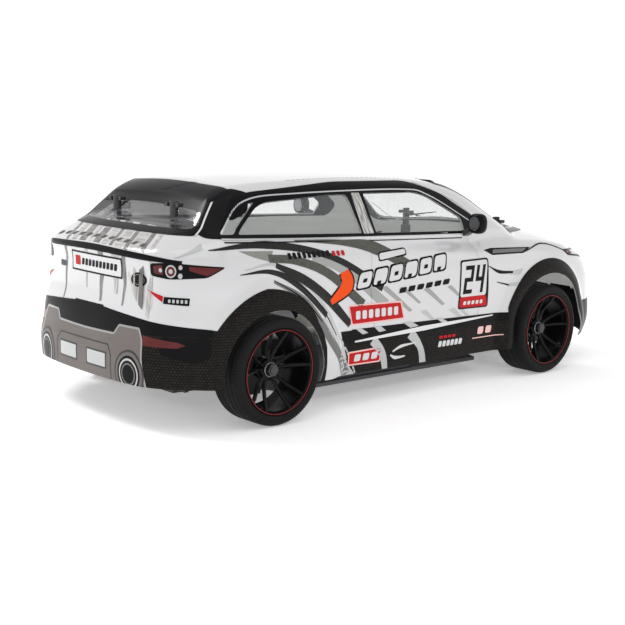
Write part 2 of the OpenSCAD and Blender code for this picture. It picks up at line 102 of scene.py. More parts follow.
# Lower edge of the shell from the nose to the tail, (x, z)
LOWER_EDGE = [(240, 22), (182, 22), (171, 46), (160, 22), (130, 22.5), (-130, 22.5), (-168, 27), (-240, 27)]
FRONT_ARCH_R = 42.5
REAR_ARCH_R = 37.5
ARCH_SHIFT = 1.0    # the arch openings lie this far outside the axles
POST_HOLES = ((120.5, 46.8), (-163.5, 31.4))    # (x, y) of the body posts on the left
POST_HOLE_R = 3.2
CORNERS = [("front_left", 1, 1), ("front_right", 1, -1), ("rear_left", -1, 1), ("rear_right", -1, -1)]


# ---------------------------------------------------------------- body surface

SIDE_WIDTH = [(14, 84), (22, 88), (34, 90), (52, 89), (70, 90), (84, 90), (94, 88), (104, 83), (114, 78)]
PLAN_WIDTH = [(-215, 0.90), (-185, 0.955), (-130, 0.99), (-60, 0.985), (0, 0.985), (70, 0.99),
              (130, 1.0), (175, 0.965), (215, 0.89)]
BELT_HEIGHT = [(-180, 116), (-150, 113.5), (-50, 109), (50, 99.5), (130, 96), (190, 86)]
HOOD_HEIGHT = [(60, 112), (110, 109.5), (145, 107.5), (165, 102), (185, 93), (205, 80)]
TAIL_X = [(14, -200), (28, -208), (40, -208.5), (52, -206.5), (64, -204.5), (76, -201.5),
          (92, -200.5), (101, -201.5), (104, -200), (112, -186), (118, -176)]
NOSE_X = [(14, 212), (24, 220), (40, 225), (60, 223), (74, 215), (86, 203), (92, 192)]
ROOF_HEIGHT = [(-170, 137), (-160, 139.5), (-140, 143), (-100, 146.5), (-40, 148), (10, 147),
               (45, 143.5), (75, 138)]
ROOF_WIDTH = [(-175, 50), (-153, 54), (-100, 60), (-40, 62), (20, 62), (60, 59), (90, 56)]
GLASS_WIDTH = [(-180, 70), (-150, 76), (-100, 79.5), (-40, 80.5), (30, 80), (90, 77), (130, 72)]
FLARE = 4            # how far the body swells over each wheel
FLARE_R = 45         # full swell within this distance of the axle
FLARE_FADE = 13      # and none this much further out
TAIL_CORNER_R = 27
NOSE_CORNER_R = 30
BELT_R = 7
CABIN_CORNER_R = 8
ROOF_EDGE_R = 6
CABIN_FILLET = 3.0


def curve_through(points, x):
    """Smooth curve through (x, value) points that never overshoots them, level outside."""
    px, py = np.array(points, float).T
    gap = np.diff(px)
    rise = np.diff(py) / gap
    slope = np.zeros(len(px))
    for i in range(1, len(px) - 1):
        if rise[i - 1] * rise[i] > 0:
            w1 = 2 * gap[i] + gap[i - 1]
            w2 = gap[i] + 2 * gap[i - 1]
            slope[i] = (w1 + w2) / (w1 / rise[i - 1] + w2 / rise[i])
    slope[0], slope[-1] = rise[0], rise[-1]
    x = np.clip(x, px[0], px[-1])
    i = np.clip(np.searchsorted(px, x, side="right") - 1, 0, len(px) - 2)
    t = (x - px[i]) / gap[i]
    return ((1 + 2 * t) * (1 - t) ** 2 * py[i] + t * (1 - t) ** 2 * gap[i] * slope[i]
            + t * t * (3 - 2 * t) * py[i + 1] + t * t * (t - 1) * gap[i] * slope[i + 1])


def round_both(a, b, r):
    """What is inside both solids, with their shared edge rounded to radius r."""
    return np.hypot(np.maximum(a + r, 0), np.maximum(b + r, 0)) + np.minimum(np.maximum(a, b), -r)


def round_either(a, b, r):
    """What is inside either solid, with a fillet of radius r where they meet."""
    return np.maximum(np.minimum(a, b), r) - np.hypot(np.maximum(r - a, 0), np.maximum(r - b, 0))


def lower_body(x, y, z):
    """Body up to the belt line, flared over the wheels; the hood falls from its middle to the belt."""
    width = curve_through(SIDE_WIDTH, z) * curve_through(PLAN_WIDTH, x)
    for wheel_x in (-AXLE_X, AXLE_X):
        t = np.clip((np.hypot(x - wheel_x, z - AXLE_Z) - FLARE_R) / FLARE_FADE, 0, 1)
        width = width + FLARE * (1 - t * t * (3 - 2 * t))
    tail = curve_through(TAIL_X, z) + 16 * (y / 90) ** 2.6 - x
    nose = x - curve_through(NOSE_X, z) + 15 * (y / 90) ** 3
    belt = curve_through(BELT_HEIGHT, x)
    hood = curve_through(HOOD_HEIGHT, x)
    top = np.where(x > 60, hood - (hood - belt) * (y / 88) ** 2, belt + 4 * (1 - (y / 80) ** 2))
    solid = round_both(round_both(y - width, tail, TAIL_CORNER_R), nose, NOSE_CORNER_R)
    solid = round_both(solid, (z - top) * 0.97, BELT_R)
    return np.maximum(solid, 14 - z)


def cabin(x, y, z):
    """Greenhouse above the belt line: leaning sides, raked screen and tail, crowned roof."""
    rise = np.maximum(z - 108, 0) / 30
    base = curve_through(GLASS_WIDTH, x)
    side = (y - base - (curve_through(ROOF_WIDTH, x) - base) * rise) * 0.83
    screen = (x + 14 * (y / 70) ** 2 - 60) * 0.53 + (z - 143.5) * 0.85
    tail = (-x - 154.5 + 3 * (y / 60) ** 2) * 0.72 + (z - 134) * 0.69
    roof = z - curve_through(ROOF_HEIGHT, x) + 5 * (y / 62) ** 2
    solid = round_both(round_both(side, screen, CABIN_CORNER_R), tail, CABIN_CORNER_R)
    solid = round_both(solid, roof, ROOF_EDGE_R)
    return np.maximum(solid, 97 - z)


def body(p):
    """Signed distance-like value of points (n, 3): zero on the painted surface."""
    x, y, z = p[..., 0], np.abs(p[..., 1]), p[..., 2]
    return round_either(lower_body(x, y, z), cabin(x, y, z), CABIN_FILLET)


def slope_of(p, step=0.25):
    """Gradient of the body value at points (n, 3)."""
    out = np.zeros_like(p)
    for k in range(3):
        d = np.zeros(3)
        d[k] = step
        out[..., k] = (body(p + d) - body(p - d)) / (2 * step)
    return out


def outward(p):
    """Unit normals of the body at points (n, 3)."""
    g = slope_of(p)
    return g / np.maximum(np.linalg.norm(g, axis=-1, keepdims=True), 1e-9)


def settle(p, rounds=4, limit=2.0):
    """Moves points onto the body surface along its gradient."""
    for _ in range(rounds):
        g = slope_of(p)
        move = body(p) / np.maximum((g ** 2).sum(-1), 1e-6)
        p = p - np.clip(move, -limit, limit)[:, None] * g
    return p


def surface_quads(low, high, step):
    """Quads over the body surface, one vertex in each grid cell it crosses."""
    axes = [np.arange(a, b + step / 2, step) for a, b in zip(low, high)]
    grid = np.stack(np.meshgrid(*axes, indexing="ij"), -1)
    value = body(grid)
    inside = value < 0
    n = np.array(value.shape)
    corners = [(i, j, k) for i in (0, 1) for j in (0, 1) for k in (0, 1)]
    count = sum(inside[i:n[0] - 1 + i, j:n[1] - 1 + j, k:n[2] - 1 + k].astype(int) for i, j, k in corners)
    cells = np.argwhere((count > 0) & (count < 8))
    number = -np.ones(n - 1, int)
    number[tuple(cells.T)] = np.arange(len(cells))
    total = np.zeros((len(cells), 3))
    hits = np.zeros(len(cells))
    for a in corners:
        for b in corners:
            if sum(b) != sum(a) + 1 or any(q < p for p, q in zip(a, b)):
                continue
            va = value[tuple((cells + a).T)]
            vb = value[tuple((cells + b).T)]
            crossed = (va < 0) != (vb < 0)
            t = np.where(crossed, va / np.where(crossed, va - vb, 1), 0)
            point = cells + np.array(a) + (np.array(b) - np.array(a)) * t[:, None]
            total[crossed] += point[crossed]
            hits[crossed] += 1
    verts = total / hits[:, None] * step + np.array([a[0] for a in axes])
    quads = []
    for axis in range(3):
        first = tuple(slice(0, n[d] - 1) if d == axis else slice(1, n[d] - 1) for d in range(3))
        second = tuple(slice(1, n[d]) if d == axis else slice(1, n[d] - 1) for d in range(3))
        differ = inside[first] != inside[second]
        base = np.argwhere(differ) + np.array([0 if d == axis else 1 for d in range(3)])
        u, v = [d for d in range(3) if d != axis]
        ring = []
        for du, dv in ((-1, -1), (0, -1), (0, 0), (-1, 0)):
            q = base.copy()
            q[:, u] += du
            q[:, v] += dv
            ring.append(number[tuple(q.T)])
        ring = np.stack(ring, 1)
        flip = inside[first][differ]
        if axis == 1:
            flip = ~flip
        ring[~flip] = ring[~flip][:, ::-1]
        quads.append(ring)
    return settle(verts), np.concatenate(quads)


# ---------------------------------------------------------------- mesh helpers

def new_object(name, verts, faces, material=None, smooth=True):
    """An object from vertices in millimetres and faces as index lists."""
    mesh = bpy.data.meshes.new(name)
    placed = (np.asarray(verts, float) + DRAWING_ORIGIN) * MM
    mesh.from_pydata(placed.tolist(), [], [tuple(map(int, f)) for f in faces])
    mesh.update()
    obj = bpy.data.objects.new(name, mesh)
    bpy.context.scene.collection.objects.link(obj)
    if smooth:
        mesh.shade_smooth()
    if material:
        mesh.materials.append(material)
    return obj


def prism(name, outline, along, low, high):
    """Closed prism: an outline in the two other axes, drawn out along x, y or z."""
    place = {"x": lambda a, b, c: (c, a, b),
             "y": lambda a, b, c: (a, c, b),
             "z": lambda a, b, c: (a, b, c)}[along]
    n = len(outline)
    verts = [place(a, b, low) for a, b in outline] + [place(a, b, high) for a, b in outline]
    faces = [list(range(n)), list(range(2 * n - 1, n - 1, -1))]
    faces += [[i, i + n, (i + 1) % n + n, (i + 1) % n] for i in range(n)]
    obj = new_object(name, verts, faces, smooth=False)
    bm = bmesh.new()
    bm.from_mesh(obj.data)
    bmesh.ops.recalc_face_normals(bm, faces=bm.faces)
    bm.to_mesh(obj.data)
    bm.free()
    return obj


def boolean(obj, other, operation):
    """Applies a boolean with a closed solid."""
    mod = obj.modifiers.new("cut", "BOOLEAN")
    mod.operation = operation
    mod.solver = "MANIFOLD"
    mod.object = other
    apply_modifiers(obj)


def apply_modifiers(obj):
    """Bakes the object's modifiers into its mesh."""
    evaluated = obj.evaluated_get(bpy.context.evaluated_depsgraph_get())
    mesh = bpy.data.meshes.new_from_object(evaluated)
    obj.modifiers.clear()
    obj.data = mesh


def duplicate(obj, name):
    """A copy of the object with its own mesh."""
    twin = obj.copy()
    twin.data = obj.data.copy()
    twin.name = name
    bpy.context.scene.collection.objects.link(twin)
    return twin


def join(objects, name):
    """One object from several."""
    bm = bmesh.new()
    materials = []
    for o in objects:
        offset = {}
        for i, m in enumerate(o.data.materials):
            if m not in materials:
                materials.append(m)
            offset[i] = materials.index(m)
        before = len(bm.faces)
        bm.from_mesh(o.data)
        bm.faces.ensure_lookup_table()
        for f in bm.faces[before:]:
            f.material_index = offset.get(f.material_index, 0)
    mesh = bpy.data.meshes.new(name)
    bm.to_mesh(mesh)
    bm.free()
    for m in materials:
        mesh.materials.append(m)
    for o in objects:
        bpy.data.objects.remove(o)
    out = bpy.data.objects.new(name, mesh)
    bpy.context.scene.collection.objects.link(out)
    return out


def shade_by_body(obj):
    """Smooth normals taken from the body surface, and flat ones on cut edges."""
    mesh = obj.data
    n_loops = len(mesh.loops)
    points = np.empty(len(mesh.vertices) * 3)
    mesh.vertices.foreach_get("co", points)
    normal = outward(points.reshape(-1, 3) / MM - DRAWING_ORIGIN)
    vert = np.empty(n_loops, int)
    mesh.loops.foreach_get("vertex_index", vert)
    face_normal = np.empty(len(mesh.polygons) * 3)
    mesh.polygons.foreach_get("normal", face_normal)
    sizes = np.empty(len(mesh.polygons), int)
    mesh.polygons.foreach_get("loop_total", sizes)
    face_normal = np.repeat(face_normal.reshape(-1, 3), sizes, axis=0)
    n = normal[vert]
    agree = (n * face_normal).sum(1)
    result = np.where((agree > 0.75)[:, None], n, np.where((agree < -0.75)[:, None], -n, face_normal))
    mesh.shade_smooth()
    mesh.normals_split_custom_set(result.tolist())


def rounded(outline, radii, steps=6):
    """A polygon with its corners rounded; radii is one number or one for each corner."""
    pts = [Vector(p) for p in outline]
    n = len(pts)
    radii = [radii] * n if isinstance(radii, (int, float)) else radii
    out = []
    for i, p in enumerate(pts):
        a = pts[i - 1] - p
        b = pts[(i + 1) % n] - p
        r = min(radii[i], a.length * 0.45, b.length * 0.45)
        if r <= 0:
            out.append(tuple(p))
            continue
        start = p + a.normalized() * r
        end = p + b.normalized() * r
        for k in range(steps + 1):
            t = k / steps
            q = start * (1 - t) ** 2 + p * 2 * t * (1 - t) + end * t * t
            out.append(tuple(q))
    return out


def smooth_line(points, per_span=8):
    """Catmull-Rom curve through 2-D points."""
    p = [np.array(q, float) for q in points]
    p = [2 * p[0] - p[1]] + p + [2 * p[-1] - p[-2]]
    out = []
    for i in range(1, len(p) - 2):
        for k in range(per_span):
            t = k / per_span
            out.append(0.5 * (2 * p[i] + (p[i + 1] - p[i - 1]) * t
                              + (2 * p[i - 1] - 5 * p[i] + 4 * p[i + 1] - p[i + 2]) * t * t
                              + (3 * p[i] - p[i - 1] - 3 * p[i + 1] + p[i + 2]) * t ** 3))
    out.append(p[-2])
    return [tuple(q) for q in out]


def stroke(points, width, per_span=8):
    """Outline of a line of one width, or of a width for each point, through points."""
    line = np.array(smooth_line(points, per_span))
    along = np.linspace(0, 1, len(line))
    widths = np.interp(along, np.linspace(0, 1, np.size(width)), np.atleast_1d(width))
    tangent = np.gradient(line, axis=0)
    tangent /= np.linalg.norm(tangent, axis=1)[:, None]
    across = np.stack([-tangent[:, 1], tangent[:, 0]], 1) * widths[:, None] / 2
    return [tuple(q) for q in line + across] + [tuple(q) for q in (line - across)[::-1]]


def mirrored(outlines):
    """The outlines and their reflections across the car's centre line, for the tail and nose views."""
    return list(outlines) + [[(-a, b) for a, b in o][::-1] for o in outlines]


def across(outlines):
    """The outlines and their reflections across the centre line, in the top view."""
    return list(outlines) + [[(x, -y) for x, y in o] for o in outlines]


def box_outline(low, high):
    """Rectangle between two corners."""
    return [(low[0], low[1]), (high[0], low[1]), (high[0], high[1]), (low[0], high[1])]


def disc(centre, radius, squeeze=1.0, count=40):
    """Circle outline; squeeze scales its first axis."""
    return [(centre[0] + radius * squeeze * math.cos(a), centre[1] + radius * math.sin(a))
            for a in np.linspace(0, 2 * math.pi, count, endpoint=False)]


# ---------------------------------------------------------------- painted patches

# Millimetres each layer of print stands off the shell
BASE = 0.12
OVER = 0.19
TOP_COAT = 0.26
MARK = 0.33
TOP_MARK = 0.40
PANEL = 0.28         # the diffuser, and the lines and windows on it
PANEL_LINE = 0.34
PANEL_WINDOW = 0.40
OUTLET = 0.36        # the lowest ring of an outlet, and from one ring to the next
OUTLET_LAYER = 0.05
WIPER = 0.5
LAYER = 0.07         # from one layer of a tail lamp to the next
LINING = -SHELL_WALL - 0.12
FINE = 1.6           # mesh step of small or tightly curved patches
# The wrap view runs along a flank and round both corners of a rounded plan
WRAP_REAR = -160.0
WRAP_FRONT = 170.0
WRAP_HALF = 50.0
WRAP_R = 40.0


def wrap_ray(s, side):
    """Start point and direction, in plan, of the ray at girth s.

    Along a flank s is x. Past WRAP_REAR and WRAP_FRONT it follows a quarter circle round the corner.
    """
    turn = WRAP_R * math.pi / 2
    s = np.asarray(s, float)
    base = np.zeros(s.shape + (2,))
    way = np.zeros(s.shape + (2,))
    flank = np.clip(s, WRAP_REAR, WRAP_FRONT)
    rear = np.clip((WRAP_REAR - s) / WRAP_R, 0, math.pi / 2)
    front = np.clip((s - WRAP_FRONT) / WRAP_R, 0, math.pi / 2)
    angle = front - rear
    way[..., 0] = np.sin(angle)
    way[..., 1] = np.cos(angle)
    over = np.maximum(WRAP_REAR - turn - s, 0) + np.maximum(s - WRAP_FRONT - turn, 0)
    base[..., 0] = flank
    base[..., 1] = WRAP_HALF - over
    base[..., 1] *= side
    way[..., 1] *= side
    return base, way


def cast(start, direction, far, near=-40.0, rounds=30):
    """Points where rays coming in from far reach the body surface."""
    a = np.full(len(start), float(far))
    b = np.full(len(start), float(near))
    for _ in range(rounds):
        mid = (a + b) / 2
        out = body(start + direction * mid[:, None]) > 0
        a = np.where(out, mid, a)
        b = np.where(out, b, mid)
    return start + direction * b[:, None]


def project(view, uv, side=-1):
    """3-D points on the body for flat coordinates in one of the drawing views."""
    uv = np.asarray(uv, float)
    n = len(uv)
    start = np.zeros((n, 3))
    way = np.zeros((n, 3))
    if view == "wrap":
        base, direction = wrap_ray(uv[:, 0], side)
        start[:, :2] = base
        start[:, 2] = uv[:, 1]
        way[:, :2] = direction
        return cast(start, way, 90)
    if view == "side":
        start[:, 0], start[:, 2] = uv[:, 0], uv[:, 1]
        start[:, 1] = 30 * side
        way[:, 1] = side
        return cast(start, way, 90, near=-20)
    if view == "tail":
        start[:, 0], start[:, 1], start[:, 2] = -150, uv[:, 0], uv[:, 1]
        way[:, 0] = -1
        return cast(start, way, 90)
    if view == "nose":
        start[:, 0], start[:, 1], start[:, 2] = 100, uv[:, 0], uv[:, 1]
        way[:, 0] = 1
        return cast(start, way, 150, near=-60)
    start[:, 0], start[:, 1], start[:, 2] = uv[:, 0], uv[:, 1], 90
    way[:, 2] = 1
    return cast(start, way, 90, near=-30)


def even_odd(points, outline):
    """Which 2-D points lie inside an outline."""
    x, y = points[:, 0], points[:, 1]
    inside = np.zeros(len(points), bool)
    o = np.asarray(outline)
    for (ax, ay), (bx, by) in zip(o, np.roll(o, -1, axis=0)):
        crosses = (ay > y) != (by > y)
        with np.errstate(divide="ignore", invalid="ignore"):
            cut = (bx - ax) * (y - ay) / (by - ay) + ax
        inside ^= crosses & (x < cut)
    return inside


def densify(outline, step):
    """The outline with more points along its edges, no further apart than step."""
    out = []
    o = [np.array(p, float) for p in outline]
    for a, b in zip(o, o[1:] + o[:1]):
        k = max(1, int(np.ceil(np.linalg.norm(b - a) / step)))
        out += [a + (b - a) * i / k for i in range(k)]
    return out


def below_edge(view):
    """What lies under the shell's lower edge, as an outline in the view's coordinates."""
    if view in ("tail", "nose"):
        height = LOWER_EDGE[-1][1] if view == "tail" else LOWER_EDGE[0][1]
        return [(-120, 0), (120, 0), (120, height), (-120, height)]
    return [(-300, 0), (300, 0), (300, LOWER_EDGE[0][1])] + LOWER_EDGE[1:-1] + [(-300, LOWER_EDGE[-1][1])]


def within(points, outlines, holes):
    """Which 2-D points lie in any outline and in no hole."""
    wanted = np.zeros(len(points), bool)
    for o in outlines:
        wanted |= even_odd(points, o)
    for o in holes:
        wanted &= ~even_odd(points, o)
    return wanted


def flat_mesh(outlines, holes, step):
    """Points and triangles that fill the outlines, with edges about step long."""
    points, edges = [], []
    for o in list(outlines) + list(holes):
        ring = densify(o, step)
        first = len(points)
        points += ring
        edges += [(first + i, first + (i + 1) % len(ring)) for i in range(len(ring))]
    ring_points = np.array(points)
    low, high = ring_points.min(0), ring_points.max(0)
    # Rows of inner points, every other one shifted, off the outline by odd fractions of a step
    gx, gy = np.meshgrid(np.arange(low[0], high[0], step) + step * 0.37,
                         np.arange(low[1], high[1], step) + step * 0.41)
    gx[1::2] += step / 2
    inner = np.stack([gx.ravel(), gy.ravel()], 1)
    points += list(inner[within(inner, outlines, holes)])
    verts, _, faces, _, _, _ = delaunay_2d_cdt([Vector(p) for p in points], edges, [], 0, 1e-4)
    uv = np.array([tuple(v) for v in verts])
    tri = np.array([f for f in faces if len(f) == 3])
    tri = tri[within(uv[tri].mean(1), outlines, holes)]
    used = np.unique(tri)
    renumber = -np.ones(len(uv), int)
    renumber[used] = np.arange(len(used))
    return uv[used], renumber[tri]


def patch(name, view, outlines, material, side=-1, lift=BASE, step=3.0, holes=()):
    """Thin painted layer on the body: outlines in the view's coordinates, raised by lift."""
    highest_edge = max(z for _, z in LOWER_EDGE)
    if view != "top" and min(z for o in outlines for _, z in o) < highest_edge + 1:
        holes = list(holes) + [below_edge(view)]
    uv, tri = flat_mesh(outlines, holes, step)
    where = project(view, uv, side)
    normal = outward(where)
    face = np.cross(where[tri[:, 1]] - where[tri[:, 0]], where[tri[:, 2]] - where[tri[:, 0]])
    back = (face * normal[tri[:, 0]]).sum(1) < 0
    tri[back] = tri[back][:, ::-1]
    obj = new_object(name, where + normal * lift, tri, material)
    layer = obj.data.uv_layers.new(name="flat")
    loop_vert = np.empty(len(obj.data.loops), int)
    obj.data.loops.foreach_get("vertex_index", loop_vert)
    layer.data.foreach_set("uv", (uv[loop_vert] * MM * 10).ravel())
    obj.data.normals_split_custom_set([tuple(normal[v]) for v in loop_vert])
    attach(obj, "shell")
    return obj


def both_sides(name, view, outlines, material, **rest):
    """The same patch on the right and the left flank."""
    return [patch(name + "_" + word, view, outlines, material, side=side, **rest)
            for word, side in (("right", -1), ("left", 1))]


# ---------------------------------------------------------------- materials

def material(name, colour, roughness=0.4, metallic=0.0, coat=0.0, grain=0.0, grain_size=400.0,
             colour_spread=0.0, spread_size=60.0, rough_spread=0.06, specular=0.5, **extra):
    """Plastic or metal with slight grain, and colour and roughness that vary over the surface."""
    mat = bpy.data.materials.new(name)
    mat.use_nodes = True
    nodes, links = mat.node_tree.nodes, mat.node_tree.links
    shader = nodes["Principled BSDF"]
    shader.inputs["Base Color"].default_value = (*colour, 1)
    shader.inputs["Metallic"].default_value = metallic
    shader.inputs["Coat Weight"].default_value = coat
    shader.inputs["Coat Roughness"].default_value = 0.04
    shader.inputs["Specular IOR Level"].default_value = specular
    where = nodes.new("ShaderNodeTexCoord")
    wide = nodes.new("ShaderNodeTexNoise")
    wide.inputs["Scale"].default_value = spread_size
    wide.inputs["Detail"].default_value = 4
    links.new(where.outputs["Object"], wide.inputs["Vector"])
    rough = nodes.new("ShaderNodeMapRange")
    rough.inputs["To Min"].default_value = max(roughness - rough_spread, 0.02)
    rough.inputs["To Max"].default_value = roughness + rough_spread
    links.new(wide.outputs["Fac"], rough.inputs["Value"])
    links.new(rough.outputs["Result"], shader.inputs["Roughness"])
    if colour_spread:
        mix = nodes.new("ShaderNodeMix")
        mix.data_type = "RGBA"
        mix.inputs["A"].default_value = (*[c * (1 - colour_spread) for c in colour], 1)
        mix.inputs["B"].default_value = (*[min(c * (1 + colour_spread), 1) for c in colour], 1)
        links.new(wide.outputs["Fac"], mix.inputs["Factor"])
        links.new(mix.outputs["Result"], shader.inputs["Base Color"])
    if grain:
        fine = nodes.new("ShaderNodeTexNoise")
        fine.inputs["Scale"].default_value = grain_size
        fine.inputs["Detail"].default_value = 3
        links.new(where.outputs["Object"], fine.inputs["Vector"])
        bump = nodes.new("ShaderNodeBump")
        bump.inputs["Strength"].default_value = grain
        bump.inputs["Distance"].default_value = 0.0004
        links.new(fine.outputs["Fac"], bump.inputs["Height"])
        links.new(bump.outputs["Normal"], shader.inputs["Normal"])
    for key, value in extra.items():
        shader.inputs[key.replace("_", " ").title()].default_value = value
    return mat


def carbon_material(name, dark, light, scale=1.0, roughness=0.3):
    """Printed carbon look: short dashes in staggered rows."""
    mat = material(name, dark, roughness=roughness, specular=0.07)
    nodes, links = mat.node_tree.nodes, mat.node_tree.links
    shader = nodes["Principled BSDF"]
    uv = nodes.new("ShaderNodeUVMap")
    uv.uv_map = "flat"
    brick = nodes.new("ShaderNodeTexBrick")
    brick.inputs["Scale"].default_value = 100 * scale
    brick.inputs["Color1"].default_value = (*light, 1)
    brick.inputs["Color2"].default_value = (*[c * 0.55 for c in light], 1)
    brick.inputs["Mortar"].default_value = (*dark, 1)
    brick.inputs["Mortar Size"].default_value = 0.30
    brick.inputs["Mortar Smooth"].default_value = 0.5
    brick.inputs["Brick Width"].default_value = 1.9
    brick.inputs["Row Height"].default_value = 1.6
    links.new(uv.outputs["UV"], brick.inputs["Vector"])
    links.new(brick.outputs["Color"], shader.inputs["Base Color"])
    return mat


def streak_material(name, light, dark, angle=0.0, size=30.0, stretch=8.0, contrast=(0.35, 0.65), shine=0.3):
    """Printed brush marks: stretched noise between two greys."""
    mat = material(name, light, roughness=0.22, specular=shine)
    nodes, links = mat.node_tree.nodes, mat.node_tree.links
    shader = nodes["Principled BSDF"]
    uv = nodes.new("ShaderNodeUVMap")
    uv.uv_map = "flat"
    turn = nodes.new("ShaderNodeMapping")
    turn.inputs["Rotation"].default_value = (0, 0, angle)
    turn.inputs["Scale"].default_value = (stretch, 1, 1)
    noise = nodes.new("ShaderNodeTexNoise")
    noise.inputs["Scale"].default_value = size
    noise.inputs["Detail"].default_value = 5
    spread = nodes.new("ShaderNodeMapRange")
    spread.inputs["From Min"].default_value = contrast[0]
    spread.inputs["From Max"].default_value = contrast[1]
    mix = nodes.new("ShaderNodeMix")
    mix.data_type = "RGBA"
    mix.inputs["A"].default_value = (*light, 1)
    mix.inputs["B"].default_value = (*dark, 1)
    links.new(uv.outputs["UV"], turn.inputs["Vector"])
    links.new(turn.outputs["Vector"], noise.inputs["Vector"])
    links.new(noise.outputs["Fac"], spread.inputs["Value"])
    links.new(spread.outputs["Result"], mix.inputs["Factor"])
    links.new(mix.outputs["Result"], shader.inputs["Base Color"])
    return mat


# Shared settings of the light gloss print, then of the dark
PAINT = dict(roughness=0.16, coat=1.0, grain=0.03, grain_size=90, spread_size=14, rough_spread=0.03)
white = material("white_paint", (0.60, 0.60, 0.61), colour_spread=0.01, **PAINT)
DARK = dict(roughness=0.2, grain=0.03, grain_size=90, spread_size=14, rough_spread=0.04, specular=0.09)
black = material("black_gloss", (0.004, 0.004, 0.005), **DARK)
grey_print = material("grey_print", (0.17, 0.17, 0.165), colour_spread=0.15, **DARK)
light_print = material("light_print", (0.42, 0.43, 0.43), colour_spread=0.05, **PAINT)
silver = material("silver_print", (0.62, 0.62, 0.63), metallic=0.6, **PAINT)
taupe = material("taupe_print", (0.165, 0.145, 0.138), colour_spread=0.4, **DARK)
red_print = material("red_print", (0.48, 0.012, 0.014), colour_spread=0.08, **DARK)
orange_print = material("orange_print", (0.80, 0.075, 0.008), colour_spread=0.12, **DARK)
carbon = carbon_material("carbon_print", (0.004, 0.004, 0.004), (0.024, 0.020, 0.018))
olive = streak_material("olive_print", (0.115, 0.115, 0.10), (0.055, 0.055, 0.05), contrast=(0.3, 0.7),
                        shine=0.12)
lamp_red = material("lamp_red", (0.10, 0.008, 0.008), roughness=0.15, specular=0.3, colour_spread=0.4,
                    spread_size=220)
rubber = material("tyre_rubber", (0.008, 0.008, 0.009), roughness=0.6, grain=0.35, grain_size=900,
                  colour_spread=0.25, spread_size=80, specular=0.12)
rim_gloss = material("rim_gloss", (0.004, 0.004, 0.005), roughness=0.24, grain=0.02, specular=0.14)
steel = material("steel", (0.55, 0.55, 0.56), roughness=0.28, metallic=1.0, grain=0.15, grain_size=700)
satin_black = material("satin_black", (0.02, 0.02, 0.021), roughness=0.42, grain=0.25, grain_size=1200,
                       colour_spread=0.15)
nylon = material("nylon", (0.035, 0.035, 0.038), roughness=0.5, grain=0.35, grain_size=900, colour_spread=0.2)


def glass_material(name, colour, cover):
    """Clear moulded window, a little tinted and shiny; cover is its opacity."""
    mat = material(name, colour, roughness=0.05, coat=0.6)
    shader = mat.node_tree.nodes["Principled BSDF"]
    shader.inputs["Alpha"].default_value = cover
    mat.blend_method = "BLEND"
    return mat


window_film = glass_material("window_film", (0.42, 0.44, 0.45), 0.12)
# The rear pane is dark and fairly opaque: painted shade standing in for the dark inside of the car seen
# through it
rear_film = glass_material("rear_film", (0.03, 0.03, 0.035), 0.62)
charcoal = streak_material("charcoal_print", (0.030, 0.028, 0.026), (0.010, 0.010, 0.010),
                           contrast=(0.3, 0.7), shine=0.12)
sage_print = material("sage_print", (0.24, 0.25, 0.22), colour_spread=0.06, **DARK)
fade_grey = material("fade_grey", (0.28, 0.28, 0.27), colour_spread=0.06, **PAINT)
light_streak = material("light_streak", (0.26, 0.26, 0.25), colour_spread=0.06, **PAINT)
pink_print = material("pink_print", (0.80, 0.45, 0.42), colour_spread=0.05, **PAINT)
smoke = material("smoke_print", (0.012, 0.012, 0.014), colour_spread=0.3, **DARK)
lamp_glass = material("lamp_glass", (0.45, 0.46, 0.47), roughness=0.08, coat=1, colour_spread=0.4,
                      spread_size=260)
inner_black = material("lining_black", (0.008, 0.008, 0.009), roughness=0.45, grain=0.1, specular=0.1)
# Inside of the shell; its faint glow is painted light, an emission standing in for light that comes through
# the shell
lining_grey = material("lining_grey", (0.42, 0.43, 0.42), roughness=0.5, grain=0.1, colour_spread=0.1,
                       emission_color=(0.42, 0.43, 0.41, 1), emission_strength=0.45)
pillar_print = streak_material("pillar_print", (0.62, 0.62, 0.60), (0.14, 0.14, 0.13), angle=0.25, size=9,
                               stretch=14, contrast=(0.4, 0.6))
brush_dark = streak_material("brush_dark", (0.30, 0.28, 0.27), (0.09, 0.085, 0.08), size=7, stretch=18,
                             contrast=(0.35, 0.65))
brush_light = streak_material("brush_light", (0.58, 0.57, 0.56), (0.30, 0.29, 0.28), size=7, stretch=18,
                              contrast=(0.35, 0.65))


# ---------------------------------------------------------------- shell

# Window outlines in their views, then the black surrounds painted round them
DOOR_GLASS = rounded([(-39, 110.6), (-38, 135.2), (10, 135.2), (21, 132.5), (48.5, 117.5), (47, 108.6)],
                     [1.5, 2, 12, 8, 3, 1.5])
REAR_SIDE_GLASS = rounded([(-147.5, 113.6), (-124, 131), (-66, 134.8), (-52.5, 134.8), (-51.5, 110.9)],
                          [1.5, 8, 6, 4, 1.5])
QUARTER_GLASS = rounded([(-159.5, 113.8), (-137.5, 130.6), (-127.5, 131.2), (-150.5, 113.8)], 1.5)
REAR_GLASS = rounded([(-59.5, 116.2), (-50.5, 131.6), (50.5, 131.6), (59.5, 116.2)], [5, 4, 4, 5])
WINDSCREEN = rounded([(-66, 105.5), (-52, 139), (52, 139), (66, 105.5)], [6, 5, 5, 6])


